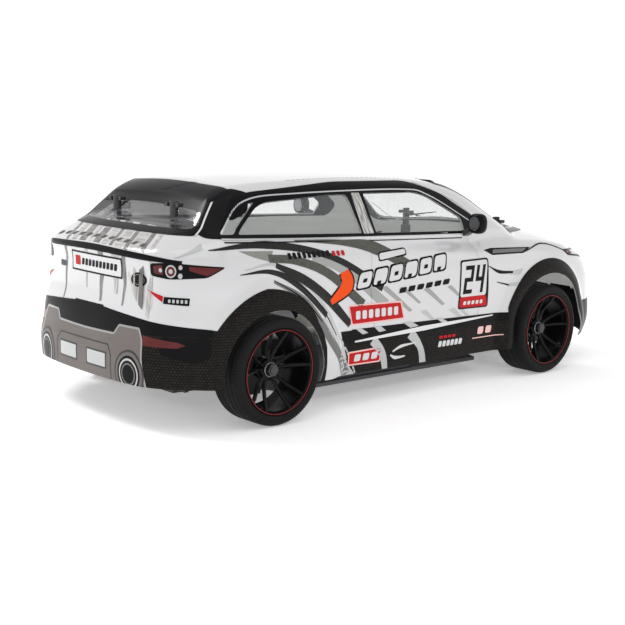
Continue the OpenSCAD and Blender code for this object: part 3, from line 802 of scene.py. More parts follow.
def shell_blank():
    """The uncut moulding: painted outer skin and an inner lining one wall behind it."""
    verts, quads = surface_quads((-222, -100, 12), (236, 100, 154), 2.0)
    inner = verts - outward(verts) * SHELL_WALL
    shell = new_object("shell_paint", np.concatenate([verts, inner]),
                       np.concatenate([quads, quads[:, ::-1] + len(verts)]), white)
    # The lining behind the white print glows with painted light from its emission; behind dark print it is
    # black
    shell.data.materials.append(lining_grey)
    shell.data.materials.append(inner_black)
    middle = inner[quads].mean(1)
    reach = np.hypot(np.abs(middle[:, 0]) - AXLE_X, middle[:, 2] - AXLE_Z)
    behind_dark_print = (reach < FRONT_ARCH_R + DARK_LINING_RIM) | (middle[:, 2] < DARK_LINING_TOP)
    lining = np.where(behind_dark_print, 2, 1)
    look = np.concatenate([np.zeros(len(quads), int), lining])
    shell.data.polygons.foreach_set("material_index", look.astype(np.int32))
    return shell


def trim_shell(shell):
    """Cuts the lower edge, the wheel arches and the holes for the body posts."""
    cutters = [prism("below", [(-240, 0), (240, 0)] + LOWER_EDGE, "y", -130, 130)]
    for x, r in ((AXLE_X + ARCH_SHIFT, FRONT_ARCH_R), (-AXLE_X - ARCH_SHIFT, REAR_ARCH_R)):
        cutters.append(prism("arch", disc((x, AXLE_Z), r, count=95), "y", -130, 130))
    for x, y in POST_HOLES:
        for side in (-1, 1):
            cutters.append(prism("post_hole", disc((x, side * y), POST_HOLE_R, count=24), "z", 98, 150))
    for cutter in cutters:
        boolean(shell, cutter, "DIFFERENCE")
        bpy.data.objects.remove(cutter)


def take_windows(shell):
    """Cuts each window out of the shell and returns the panes, the rear one first."""
    cutters = [prism("cut_tail", REAR_GLASS, "x", -230, -120), prism("cut_screen", WINDSCREEN, "x", 45, 160)]
    for low, high in ((-110, -40), (40, 110)):
        for outline in (DOOR_GLASS, REAR_SIDE_GLASS, QUARTER_GLASS):
            cutters.append(prism("cut_side", outline, "y", low, high))
    panes = []
    for i, cutter in enumerate(cutters):
        pane = duplicate(shell, "window_%d" % i)
        boolean(pane, cutter, "INTERSECT")
        pane.data.polygons.foreach_set("material_index", np.zeros(len(pane.data.polygons), np.int32))
        pane.data.materials.clear()
        # The rear pane gets the dark material, which is painted shade
        pane.data.materials.append(rear_film if i == 0 else window_film)
        panes.append(pane)
        boolean(shell, cutter, "DIFFERENCE")
        bpy.data.objects.remove(cutter)
    return panes


def make_shell():
    """Shell and windows, which take the place of the CAD shell."""
    shell = shell_blank()
    trim_shell(shell)
    panes = take_windows(shell)
    rear_window = panes[0]
    rear_window.name = "rear_window"
    side_windows = join(panes[1:], "shell_windows")
    for obj in (shell, side_windows, rear_window):
        shade_by_body(obj)
        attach(obj, "shell")
        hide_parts("body_shell")


make_shell()


# ---------------------------------------------------------------- painted graphics

def paint_greenhouse():
    """Black pillars and roof edge round the side windows, and the bright lines along them."""
    surround = rounded([(-173, 112), (-50, 109), (62, 106.5), (66, 116), (36, 134), (8, 142.5), (-60, 142.5),
                        (-130, 137), (-153, 132)], 8)
    pillar = rounded([(-50, 110.5), (-48.5, 135.5), (-41, 135.5), (-41, 110.5)], 1)
    roof_trim = stroke([(-158, 114.5), (-134, 132), (-91, 136), (-2, 137), (24, 132.5), (60, 113)], 0.8)
    waist = [(-160, 111.5), (-50, 108), (44, 105.5)]
    screen_trim = stroke([(15, 141.5), (46, 129.5), (68, 114)], 0.7)
    holes = [DOOR_GLASS, REAR_SIDE_GLASS, QUARTER_GLASS]
    both_sides("window_surround", "side", [surround], black, lift=OVER, step=FINE, holes=holes)
    both_sides("window_lining", "side", [surround], inner_black, lift=LINING, step=FINE, holes=holes)
    both_sides("pillar", "side", [pillar], pillar_print, lift=TOP_COAT, step=2)
    both_sides("roof_trim", "side", [roof_trim], silver, lift=TOP_COAT, step=2)
    both_sides("waist_line", "side", [stroke(waist, 0.9)], silver, lift=TOP_COAT, step=2)
    below = [(x, z - 1.6) for x, z in waist]
    both_sides("waist_shadow", "side", [stroke(below, 0.7)], black, lift=OVER, step=2)
    both_sides("screen_line", "side", [screen_trim], silver, lift=TOP_COAT, step=2)
    corner_line = stroke([(-54.5, 131.5), (-59.5, 122), (-64.5, 113)], 0.8)
    patch("tail_pillar_lines", "tail", mirrored([corner_line]), white, lift=MARK, step=2)


def paint_roof():
    """Dark rear roof edge with its lighter facet, the glass surrounds and the roof marks."""
    front_edge = [(-143 + 6 * (y / 58) ** 4, y) for y in np.linspace(-58, 58, 25)]
    patch("roof_rear_edge", "top", [front_edge + [(-160, 57), (-160, -57)]], smoke, lift=OVER, step=FINE)
    facet = [(-153, -2), (-143, -18), (-142, -26), (-152, -9)]
    patch("roof_facet", "top", [facet], black, lift=TOP_COAT, step=2)
    tip = rounded([(-158, 61), (-153, 53), (-138, 51.5), (-128, 58), (-134, 65), (-148, 67)], 3)
    patch("roof_tips", "top", across([tip]), black, lift=TOP_COAT, step=FINE)
    lip = stroke([(-59, 132), (0, 134), (59, 132)], 1.0)
    patch("roof_lip", "tail", [lip], black, lift=TOP_COAT, step=2)
    for name, view, hole, frame_edge in (
            ("rear_glass", "tail", REAR_GLASS, rounded([(-66, 113), (-55, 134), (55, 134), (66, 113)], 4)),
            ("windscreen", "nose", WINDSCREEN, rounded([(-72, 103), (-56, 142), (56, 142), (72, 103)], 6)),
    ):
        patch(name + "_surround", view, [frame_edge], black, lift=OVER, step=FINE, holes=[hole])
        patch(name + "_lining", view, [frame_edge], inner_black, lift=LINING, holes=[hole])
    wipers = [stroke([(-8, 107), (-40, 113)], [1.6, 0.6]), stroke([(44, 107), (4, 113)], [1.6, 0.6])]
    patch("wipers", "nose", wipers, black, lift=WIPER, step=2)
    marks = lettering((-92, 50), 24, (2.2, 1.2), 2.1, 0.2, 0.0)
    patch("roof_marks", "top", across(marks), fade_grey, lift=BASE, step=1.5)


def paint_swooshes():
    """Long curved bands that sweep from the tail over the rear arch to the sill, on both sides."""
    bands = [
        # name, material, lift, points of the middle line, widths along it
        ("broad", fade_grey, BASE, [(-99, 99), (-72, 88.5), (-37, 65)], [4.5, 6, 7]),
        ("ring", grey_print, BASE, [(-133, 87), (-110, 73.5), (-84, 43), (-70, 23)], [2, 4, 6, 6.5]),
        ("halo", light_print, BASE,
         [(-152, 94.5), (-128, 96), (-104, 81), (-80, 52), (-62, 23)], [0.6, 2.2, 2, 1.2]),
        ("window", olive, OVER, [(-109, 109), (-70, 106), (-44, 101.5), (-12, 87)], [0.5, 3.5, 8.5, 7]),
        ("middle", olive, OVER, [(-133, 100), (-112, 97.5), (-88, 88.5), (-58, 67)], [4.5, 5, 6, 6]),
        ("lower", charcoal, OVER, [(-129, 96), (-110, 87), (-90, 74), (-68, 55)], [3, 6, 6.5, 4.5]),
        ("arch", charcoal, OVER, [(-156, 92), (-134, 92.5), (-116, 84.5), (-92, 63.5)], [0.4, 2.8, 4.6, 4]),
        ("edge_high", black, TOP_COAT, [(-118, 87), (-100, 73), (-82, 50)], [0.4, 1.0, 0.5]),
        ("edge_low", black, TOP_COAT, [(-132, 87), (-112, 75), (-96, 60)], [0.4, 1.1, 0.5]),
    ]
    for name, look, lift, line, widths in bands:
        both_sides("swoosh_" + name, "side", [stroke(line, widths)], look, lift=lift, step=2.5)
    long_band = stroke([(-176, 106), (-131, 107.5), (-84, 98.5), (-41, 76)], [0.5, 4.5, 4.2, 4.5])
    both_sides("swoosh_long", "wrap", [long_band], charcoal, lift=OVER)
    sage = [(-153, 105), (-128, 104), (-132, 98), (-143, 101)]
    both_sides("swoosh_sage", "side", [sage], sage_print, lift=BASE)


def streak(x, z, length, width):
    """One brush stroke that starts at (x, z) and falls forwards, narrowing as it goes."""
    dx = length * 0.83
    dz = -length * 0.56
    return [(x - width * 0.5, z - 0.6), (x + width * 0.5, z + 0.3),
            (x + width * 0.34 + dx, z + dz), (x - width * 0.2 + dx, z + dz - 0.8)]


def paint_streaks():
    """Short brush strokes across the door, lying along the sweep of the bands."""
    upper = [(-40, 77, 32, 5), (-22, 75, 20, 3.5), (0, 73, 22, 5), (23, 73, 13, 4)]
    lower = [(-1, 58, 13, 5), (27, 57, 14, 6), (38, 55, 10, 3.5), (-34, 88, 12, 5), (-68, 74, 20, 4)]
    both_sides("streaks", "side", [streak(*s) for s in upper], light_streak, lift=BASE)
    both_sides("streaks_low", "side", [streak(*s) for s in lower], light_print, lift=BASE)


def lettering(origin, count, size, gap, slant, rise, grow=0.0):
    """A row of slanted blocks in place of words."""
    w, h = size
    blocks = []
    for k in range(count):
        x = origin[0] + k * (w + gap)
        z = origin[1] + k * (w + gap) * rise
        shape = [(x - grow, z - grow), (x + w + grow, z - grow + w * rise),
                 (x + w + grow + h * slant, z + h + grow + w * rise), (x - grow + h * slant, z + h + grow)]
        blocks.append(rounded(shape, min(w, h) * 0.28, 3))
    return blocks


def label(name, outline, inner, edge_look, look, marks):
    """A framed sticker: its edge, its field and a row of blocks on it."""
    both_sides(name + "_edge", "side", [rounded(outline, 0.8)], edge_look, lift=OVER)
    both_sides(name, "side", [rounded(inner, 0.8)], look, lift=TOP_COAT)
    both_sides(name + "_marks", "side", marks, white, lift=MARK, step=2)


def paint_labels():
    """Number panel, slash and plain stand-in labels; both sides carry the same set."""
    edge = rounded([(33.5, 55.5), (33.5, 89.5), (62.5, 90), (65, 55)], 2.5)
    field = rounded([(34.8, 64), (34.8, 88.2), (61.4, 88.8), (61.4, 64)], 2)
    foot = rounded([(34.8, 56.5), (34.8, 64), (61.6, 64), (64, 56)], 1.2)
    both_sides("number_panel_edge", "side", [edge], black, lift=OVER)
    both_sides("number_panel", "side", [field], white, lift=TOP_COAT)
    both_sides("number_foot", "side", [foot], red_print, lift=TOP_COAT)
    both_sides("number_foot_marks", "side", lettering((38.5, 58.3), 5, (2.8, 2.6), 1.5, 0.1, -0.01), white,
               lift=MARK, step=1.5)
    for word, side in (("right", -1), ("left", 1)):
        turn = -side
        digits = [[(48 + turn * (x - 48), z) for x, z in o] for o in racing_number()]
        patch("race_number_" + word, "side", digits, black, side=side, lift=MARK, step=2)
    slash = [(-75, 89), (-73, 80), (-86, 70.5)]
    both_sides("slash_edge", "side", [stroke(slash, [10, 13, 6])], black, lift=OVER)
    both_sides("slash", "side", [stroke(slash, [7.5, 10.5, 3.5])], orange_print, lift=TOP_COAT)
    word = dict(origin=(-64, 77.5), count=6, size=(10.5, 9.2), gap=3.6, slant=0.32, rise=0.095)
    both_sides("word_outline", "side", lettering(grow=1.5, **word), black, lift=OVER)
    both_sides("word_fill", "side", lettering(grow=0.3, **word), white, lift=TOP_COAT)
    cores = lettering((-59.5, 80.8), 6, (3.6, 2.6), 10.5, 0.32, 0.095)
    cores[1::2] = [[(x - 1.6, z - 3.6) for x, z in o] for o in cores[1::2]]
    both_sides("word_core", "side", cores, black, lift=MARK, step=1.5)
    both_sides("word_small", "side", lettering((-26, 71.5), 6, (6.2, 3.6), 2.2, 0.32, 0.06), black,
               lift=TOP_COAT, step=2)
    label("label_high", [(-71, 67.5), (-23, 66.5), (-18.5, 54), (-67, 54)],
          [(-70, 66.5), (-24, 65.5), (-20, 55), (-66, 55)], pink_print, red_print,
          lettering((-63.5, 57.6), 7, (3.9, 5.6), 1.8, -0.12, 0.0))
    label("label_low", [(-70, 37.5), (-40, 38), (-41, 28), (-70, 28.5)],
          [(-69, 36.5), (-41, 37), (-42, 29), (-69, 29.5)], pink_print, red_print,
          lettering((-65, 30.8), 3, (5.4, 4.4), 2.2, 0.2, 0.0))
    both_sides("side_marks", "side", lettering((-118, 98.6), 9, (2.6, 3.6), 1.3, 0.0, 0.0), black,
               lift=MARK, step=1.5)
    both_sides("side_marks_red", "side", lettering((-82, 98.6), 3, (2.6, 3.0), 1.3, 0.0, 0.0), red_print,
               lift=MARK, step=1.5)


def racing_number():
    """Outlines of a slanted 24 drawn with straight bars."""
    foot, middle, head = 66.0, 75.7, 85.5
    bar, width = 2.9, 9.0
    lean = 0.12

    def upright(x, low, high):
        corners = box_outline((x, low), (x + bar, high))
        return [(a + (z - foot) * lean, z) for a, z in corners]

    def level(x, z):
        corners = box_outline((x, z), (x + width, z + bar))
        return [(a + (b - foot) * lean, b) for a, b in corners]

    two, four = 37, 48.5
    bars_of_two = [level(two, head - bar), upright(two + width - bar, middle, head - 1),
                   level(two, middle - bar / 2), upright(two, foot + 1, middle), level(two, foot)]
    bars_of_four = [upright(four, middle, head), level(four, middle - bar / 2),
                    upright(four + width - bar, foot, head)]
    return bars_of_two + bars_of_four


def paint_sill():
    """Carbon side skirt with its silver blade and light slashes."""
    field = [(-58, 18), (-71, 31), (-76, 51), (85, 49.5), (92, 18)]
    dark_band = [(-76, 46), (-66, 51.5), (85, 49.7), (85, 44), (-65, 42.5)]
    both_sides("skirt", "side", [field], carbon, lift=BASE)
    both_sides("skirt_band", "side", [dark_band], black, lift=OVER)
    blade = stroke([(-64, 43.5), (0, 46), (71, 48.5)], [1.0, 3.2, 0.8])
    both_sides("skirt_blade", "side", [blade], silver, lift=MARK, step=2)
    cuts = [[(x, 51.5), (x + wide, 51.5), (x + wide + run, 48), (x + run, 47.5)]
            for x, wide, run in ((-63, 5, 6), (-47, 6, 5), (-20, 8, 7), (12, 5, 7))]
    curves = [stroke([(-48, 43), (-40, 34), (-33, 18)], [7, 6, 4]),
              stroke([(-13, 44), (-4, 34), (3, 18)], [8, 5, 6])]
    both_sides("skirt_slashes", "side", cuts + curves, light_print, lift=TOP_COAT, step=2.5)
    fade = [[(-78, 51), (-90, 62), (-96, 62), (-84, 46)],
            [(-74, 44), (-70, 29), (-60, 20), (-72, 20), (-80, 34)]]
    both_sides("skirt_fade", "side", fade, light_print, lift=BASE)
    leaf = [stroke([(-32, 31.5), (-27, 29.2), (-18, 29.2)], [1.0, 2.4, 1.0]),
            stroke([(-30, 33.5), (-22, 36.2), (-8, 37.2)], [1.0, 2.0, 0.6])]
    both_sides("skirt_leaf", "side", leaf, white, lift=MARK, step=2)
    both_sides("skirt_marks", "side", lettering((14, 31.5), 6, (3.2, 4.0), 0.9, 0.2, 0.0), white,
               lift=MARK, step=1.5)
    both_sides("skirt_marks_red", "side", lettering((15, 37.2), 4, (3.4, 1.8), 0.9, 0.1, 0.0), red_print,
               lift=MARK, step=1.5)
    pair = lettering((54, 36.5), 2, (6, 5.0), 2.4, 0.25, 0.0) + [stroke([(49, 34), (80, 34)], 0.7)]
    both_sides("skirt_marks_pink", "side", pair, pink_print, lift=MARK, step=2)


def paint_arches():
    """Carbon trims round the wheel openings; the rear one widens towards the tail."""
    for name, x, hole_r, front_r, rear_r, low_front, low_rear in (
            ("rear_trim", -AXLE_X, REAR_ARCH_R, 41, 51, -91.5, -176),
            ("front_trim", AXLE_X, FRONT_ARCH_R, 49, 49, 186, 84)):
        edge = []
        crown = 4 if x > 0 else 0    # the front trim is widest over the axle
        for degrees in range(28, 157, 4):
            angle = math.radians(degrees)
            swing = min(max((degrees - 40) / 60, 0), 1)
            r = front_r + (rear_r - front_r) * swing + crown * math.sin(angle) ** 2
            edge.append((x + r * math.cos(angle), AXLE_Z + r * math.sin(angle)))
        outline = [(low_front, 18), (low_front, 44)] + edge + [(low_rear, 44), (low_rear, 18)]
        centre = (x + ARCH_SHIFT * (1 if x > 0 else -1), AXLE_Z)
        opening = disc(centre, hole_r - 0.3, count=72)
        both_sides(name, "wrap", [outline], carbon, lift=OVER, holes=[opening], step=2.5)


def paint_tail_lamps():
    """Tail lamps that wrap round the corners: dark lens, red fields and ringed bulbs."""
    lens = rounded([(-217, 98), (-203, 99.2), (-165, 96.8), (-178, 91), (-203, 89.6), (-217, 91)], 2.5)
    reds = [rounded([(-190, 97.3), (-167.5, 96.2), (-178, 92), (-190, 95)], 0.8),
            rounded([(-214.5, 96.6), (-208, 97.6), (-207, 92), (-214, 92.4)], 1)]
    bulb = (-202, 94.2)
    small = [disc((-195.6, 96.6), 1.3), disc((-195.6, 91.8), 1.5), disc((-209, 94.6), 1.2)]
    layers = [("lens", [lens], black), ("red", reds, lamp_red), ("ring", [disc(bulb, 3.7)], light_print),
              ("core", [disc(bulb, 2.8)], lamp_red), ("dot", [disc(bulb, 1.4)] + small, light_print)]
    for k, (name, outlines, look) in enumerate(layers):
        both_sides("tail_lamp_" + name, "wrap", outlines, look, lift=OVER + LAYER * k, step=FINE)


def paint_tail_streaks():
    """Brush marks that run from the deck down the tail, darkest at the top."""
    # place across the car, width, foot height
    marks = [(33, 3, 62), (25, 5, 99), (15, 7, 99), (7, 3.5, 72), (-1, 7, 99), (-10, 6, 67), (-17, 3.5, 99),
             (-25, 8, 72), (-33, 4, 67), (-41, 9, 99), (-49, 4, 99), (-56, 3, 66)]
    slant = 14
    deck = [[(-176, y + slant - w / 2), (-176, y + slant + w / 2), (-199, y + w / 2), (-199, y - w / 2)]
            for y, w, _ in marks]
    patch("deck_streaks_dark", "top", deck[::2], brush_dark, lift=BASE, step=2.5)
    patch("deck_streaks_light", "top", deck[1::2], brush_light, lift=BASE, step=2.5)
    falls = []
    for y, w, foot in marks:
        line = [(y - (102 - z) * 0.03 + 0.5 * math.sin(z * 0.3 + y), z) for z in np.arange(101.0, foot, -6.0)]
        if len(line) > 2:
            falls.append(stroke(line, [w, w * 0.7, w * 0.35], 4))
    patch("tail_streaks_dark", "tail", falls[::2], brush_dark, lift=BASE)
    patch("tail_streaks_light", "tail", falls[1::2], brush_light, lift=BASE)


def paint_tail():
    """Black bands, plate, reflectors and small marks of the tail."""
    strip = stroke([(-72, 99.4), (-50, 101), (0, 102.4), (50, 101), (72, 99.4)], [1.6, 3.4, 3.6, 3.4, 1.6])
    patch("tail_strip", "tail", [strip], black, lift=TOP_COAT, step=2)
    field = [(-264, 18), (-264, 69), (-230, 66.5), (-171, 61), (-176, 45), (-176, 18)]
    dark_band = [(-264, 56), (-264, 69), (-230, 66.5), (-175, 61.5), (-175, 58), (-215, 57)]
    both_sides("tail_carbon", "wrap", [field], carbon, lift=BASE)
    both_sides("tail_band", "wrap", [dark_band], black, lift=OVER)
    patch("tail_band_middle", "tail", [box_outline((-16, 48), (16, 69.2))], black, lift=OVER)
    shade = rounded([(-206, 57), (-206, 47), (-186, 42), (-176, 46), (-176, 57)], 3)
    both_sides("tail_shade", "wrap", [shade], black, lift=OVER)
    reflector = [(-218, 56.8), (-196, 54.2), (-191, 52.6), (-196, 50.8), (-217.5, 51)]
    both_sides("tail_reflector", "wrap", [rounded(reflector, 1)], lamp_red, lift=TOP_COAT, step=2)
    spear = stroke([(-181, 108), (-200, 101.5)], [3.4, 0.4])
    pointer = [(-219.5, 82.8), (-206.5, 79.8), (-207, 76.4)]
    both_sides("tail_spear", "wrap", [spear], light_print, lift=BASE, step=2)
    both_sides("tail_pointer", "wrap", [pointer], red_print, lift=OVER, step=2)
    both_sides("tail_tag", "wrap", [rounded([(-206, 79.6), (-189, 79.4), (-189.5, 75), (-206.5, 75.6)], 0.6)],
               black, lift=OVER, step=2)
    both_sides("tail_tag_bars", "wrap", lettering((-203, 76.4), 5, (1.6, 2.0), 1.1, 0.0, 0.0), light_print,
               lift=TOP_COAT, step=1.5)
    plate_edge = rounded(box_outline((-31.5, 86.2), (24.5, 98.5)), 0.8)
    plate = rounded(box_outline((-30.3, 87.3), (23.3, 97.4)), 0.6)
    plate_badge = rounded(box_outline((14, 89.8), (20, 95.6)), 0.8)
    patch("plate_edge", "tail", [plate_edge], smoke, lift=OVER, step=2)
    patch("plate", "tail", [plate], white, lift=TOP_COAT, step=2)
    plate_row = lettering((-12.5, 90.3), 10, (3.0, 4.2), 0.95, 0.15, 0.0)
    plate_marks = [[(-x, z) for x, z in o][::-1] for o in plate_row]
    patch("plate_marks", "tail", plate_marks, black, lift=MARK, step=1.5)
    patch("plate_mark_red", "tail", [plate_badge], red_print, lift=TOP_MARK, step=1.5)
    oval, tall = (-46, 87.5), 1.55
    patch("tail_oval", "tail", [disc(oval, 4.2, tall)], black, lift=MARK, step=1.2)
    patch("tail_oval_ring", "tail", [disc(oval, 3.2, tall)], grey_print, lift=TOP_MARK, step=1.2,
          holes=[disc(oval, 2.7, tall)])
    small_mark = rounded(box_outline((33, 87), (41, 90.5)), 0.5)
    patch("tail_small_mark", "tail", [small_mark], satin_black, lift=OVER, step=2)
    dashes = [[(-192 - z, x) for x, z in o] for o in lettering((-46, 0), 12, (3.8, 3.0), 4.6, 0.3, 0.0)]
    patch("deck_dashes", "top", dashes, satin_black, lift=TOP_COAT, step=1.5)


def paint_diffuser():
    """Grey printed lower bumper with two pale windows and round outlets."""
    half = [(61, 20), (55, 54), (52, 60), (35, 60), (31, 54.5), (0, 54)]
    outline = half + [(-y, z) for y, z in half[-2::-1]]
    patch("diffuser", "tail", [outline], taupe, lift=PANEL)
    for k, (p, q) in enumerate(zip(outline, outline[1:])):
        patch("diffuser_edge_%d" % k, "tail", [stroke([p, q], 1.2, 4)], light_streak, lift=PANEL_LINE, step=2)
    recess = [(-31, 19), (-31, 42), (-27, 47.5), (27, 47.5), (31, 42), (31, 19)]
    for k, (p, q) in enumerate(zip(recess, recess[1:])):
        line = stroke([p, q], 0.9, 4)
        patch("diffuser_recess_%d" % k, "tail", [line], satin_black, lift=PANEL_LINE, step=2)
    shade = rounded(box_outline((5.4, 32.6), (26.8, 43.0)), 0.6)
    window = rounded(box_outline((6.5, 33.7), (25.7, 41.9)), 0.6)
    patch("diffuser_shades", "tail", mirrored([shade]), satin_black, lift=PANEL_LINE, step=2)
    patch("diffuser_windows", "tail", mirrored([window]), light_print, lift=PANEL_WINDOW, step=2)
    rings = ((14.2, satin_black), (12.8, taupe), (10.8, black), (9.2, light_print), (8.0, black),
             (6.6, grey_print), (5.6, black))
    for k, (r, look) in enumerate(rings):
        ring = disc((47, 33), r, 0.86)
        patch("outlets_%d" % k, "tail", mirrored([ring]), look, lift=OUTLET + OUTLET_LAYER * k, step=2)


def paint_nose():
    """Lamps, grille, vents and the dark lower bumper at the front."""
    both_sides("nose_carbon", "wrap", [[(174, 18), (174, 50), (262, 49), (262, 18)]], carbon, lift=BASE)
    patch("nose_carbon_middle", "nose", [box_outline((-50, 18), (50, 49))], carbon, lift=BASE)
    both_sides("nose_slot", "wrap", [rounded([(206, 52), (206, 76), (212, 74), (210, 53)], 1.5)], black,
               lift=OVER, step=2)
    fender = stroke([(104, 92), (130, 96.2), (160, 88)], 0.8)
    both_sides("fender_line", "wrap", [fender], black, lift=OVER, step=2)
    vent = rounded([(60, 95), (68, 91.3), (102, 91), (112, 94.6), (68, 96)], 0.8)
    fill = rounded([(68, 92.4), (101, 92), (107, 94.2), (70, 94.8)], 0.6)
    both_sides("fender_vent", "side", [vent], black, lift=OVER, step=2)
    both_sides("fender_vent_fill", "side", [fill], grey_print, lift=TOP_COAT, step=2)
    strokes = [stroke([(63, 84), (75, 79.2), (90, 78)], [0.4, 2.4, 1.6]),
               stroke([(73, 72), (86, 69)], [0.6, 1.2])]
    both_sides("fender_strokes", "side", strokes, black, lift=OVER, step=2)
    fades = [[(88, 79), (101, 80), (97, 76), (87, 76)], [(86, 70), (96, 71), (93, 68), (85, 68)]]
    both_sides("fender_fades", "side", fades, light_print, lift=BASE, step=2)
    lamp = rounded([(150, 91), (196, 89.5), (226, 80.5), (212, 80), (156, 86.5)], 1.5)
    lamp_field = rounded([(154, 90), (194, 88), (208, 84.5), (194, 83.5), (158, 87.2)], 1.2)
    both_sides("headlamp", "wrap", [lamp], black, lift=OVER, step=2)
    both_sides("headlamp_glass", "wrap", [lamp_field], lamp_glass, lift=TOP_COAT, step=2)
    amber = rounded([(153, 90), (162, 89.6), (163, 87.2), (157, 87)], 0.8)
    both_sides("headlamp_amber", "wrap", [amber], lamp_red, lift=MARK, step=2)
    patch("grille", "nose", [rounded([(-36, 66), (-44, 78.5), (44, 78.5), (36, 66)], 3)], black, lift=OVER)
    bars = [box_outline((k / 4 - 40, z), (40 - k / 4, z + 1.0)) for k, z in enumerate((68.2, 71.2, 74.2))]
    patch("grille_bars", "nose", bars, silver, lift=TOP_COAT, step=2)
    patch("intake", "nose", [rounded([(-48, 26), (-54, 44), (54, 44), (48, 26)], 3)], satin_black, lift=OVER)
    slats = [box_outline((-46, z), (46, z + 1.2)) for z in (30, 35, 40)]
    patch("intake_slats", "nose", slats, grey_print, lift=TOP_COAT, step=2)
    both_sides("fog_lamp", "wrap", [disc((224, 36), 6.5)], satin_black, lift=OVER, step=2)
    both_sides("fog_lamp_glass", "wrap", [disc((224, 36), 4.6)], lamp_glass, lift=TOP_COAT, step=2)
    hood_vent = rounded([(112, 30), (134, 25), (152, 24), (140, 34), (124, 37)], 2)
    patch("hood_vents", "top", across([hood_vent]), olive, lift=OVER, step=2.5)
    crease = stroke([(92, 58), (130, 54), (184, 40)], 0.7)
    patch("hood_creases", "top", across([crease]), light_print, lift=BASE, step=2)


def paint_details():
    """Door handles and shut lines."""
    handle = rounded([(-44, 93.0), (-17, 95.8), (-17, 100.8), (-43, 99.0)], 2.4)
    pull = rounded([(-43, 94.0), (-18, 96.8), (-18, 99.8), (-42, 98.1)], 1.8)
    both_sides("handle_edge", "side", [handle], black, lift=OVER, step=2)
    both_sides("handle", "side", [pull], white, lift=MARK, step=2)
    shut_lines = [stroke([(-46, 108), (-52, 80), (-46, 50)], 0.35),
                  stroke([(50, 104), (56, 75), (55, 50)], 0.35)]
    both_sides("shut_lines", "side", shut_lines, light_print, lift=BASE, step=2)


def paint_shell():
    """All the print, one section of the body after another."""
    for section in (paint_greenhouse, paint_roof, paint_swooshes, paint_streaks, paint_labels, paint_sill,
                    paint_arches, paint_tail_lamps, paint_tail_streaks, paint_tail, paint_diffuser,
                    paint_nose, paint_details):
        section()


paint_shell()


# ---------------------------------------------------------------- wheels

def revolve(profile, segments, name, mat, shape=None):
    """Surface of revolution about Y of (y, r) points; shape may move each vertex's radius."""
    p = np.array(profile, float)
    a = np.linspace(0, 2 * math.pi, segments, endpoint=False)
    rr = np.repeat(p[:, 1][None], segments, 0)
    if shape is not None:
        rr = rr + shape(a[:, None], p[:, 0][None], p[:, 1][None])
    along = np.repeat(p[:, 0][None], segments, 0)
    verts = np.stack([rr * np.cos(a)[:, None], along, rr * np.sin(a)[:, None]], -1)
    k = len(p)
    i, j = np.meshgrid(np.arange(segments), np.arange(k - 1), indexing="ij")
    nxt = (i + 1) % segments
    faces = np.stack([i * k + j, i * k + j + 1, nxt * k + j + 1, nxt * k + j], -1).reshape(-1, 4)
    return new_object(name, verts.reshape(-1, 3), faces, mat)


def fine(points, step):
    """More points along a profile, no further apart than step."""
    out = [points[0]]
    for a, b in zip(points, points[1:]):
        k = max(1, int(math.ceil(math.dist(a, b) / step)))
        out += [tuple(np.array(a) + (np.array(b) - np.array(a)) * i / k) for i in range(1, k + 1)]
    return out


def tyre_mesh(name):
    """Tyre with a ribbed tread, fine cuts on the shoulders and rings on the sidewalls."""
    half = 13.0
    side = [(half - 1.4, RIM_R), (half - 0.2, 26.9), (half, 27.6), (half - 0.35, 28.2), (half, 28.8),
            (half + 0.15, 29.8), (half - 0.2, 31.0), (half - 1.2, 32.2), (half - 2.6, 32.8),
            (half - 4.2, TYRE_R)]
    crown = fine([(half - 4.2, TYRE_R), (-half + 4.2, TYRE_R)], 0.55)
    other = [(-y, r) for y, r in side[::-1]]
    profile = side[:-1] + crown + other[1:] + [(-half + 1.4, RIM_R), (half - 1.4, RIM_R)]

    def tread(a, y, r):
        near = np.clip((r - 31.6) / 1.0, 0, 1)
        cuts = (np.abs(((a * 110 / (2 * math.pi) + np.abs(y) * 0.05) % 1) - 0.5) > 0.33) & (np.abs(y) > 7.2)
        rings = np.isin(np.round(np.abs(y)), (3, 7)) & (r > 32.9)
        return -0.35 * near * cuts - 0.5 * rings

    return revolve(profile, 440, name, rubber, tread)


def spoke_mesh(angle, lean, width_hub, width_rim):
    """One thin spoke from the recessed hub to the rim's edge, with a raised spine."""
    stations = [(4.5, 2.6), (8, 2.9), (13, 4.6), (18, 7.6), (22, 10.2), (24.6, 11.4)]
    verts, faces = [], []
    section = ((-0.5, -1.6), (-0.5, -0.2), (-0.2, 0.55), (0.2, 0.55), (0.5, -0.2), (0.5, -1.6))
    for r, y in stations:
        t = (r - 4.5) / 20.1
        w = width_hub + (width_rim - width_hub) * t
        off = lean * t
        verts += [(r, y + dy, off + share * w) for share, dy in section]
    for i in range(len(stations) - 1):
        for j in range(6):
            a, b = i * 6 + j, i * 6 + (j + 1) % 6
            faces.append((a, b, b + 6, a + 6))
    faces += [tuple(range(5, -1, -1)), tuple(range(len(verts) - 6, len(verts)))]
    v = np.array(verts)
    c, s = math.cos(angle), math.sin(angle)
    return np.stack([v[:, 0] * c - v[:, 2] * s, v[:, 1], v[:, 0] * s + v[:, 2] * c], 1), faces


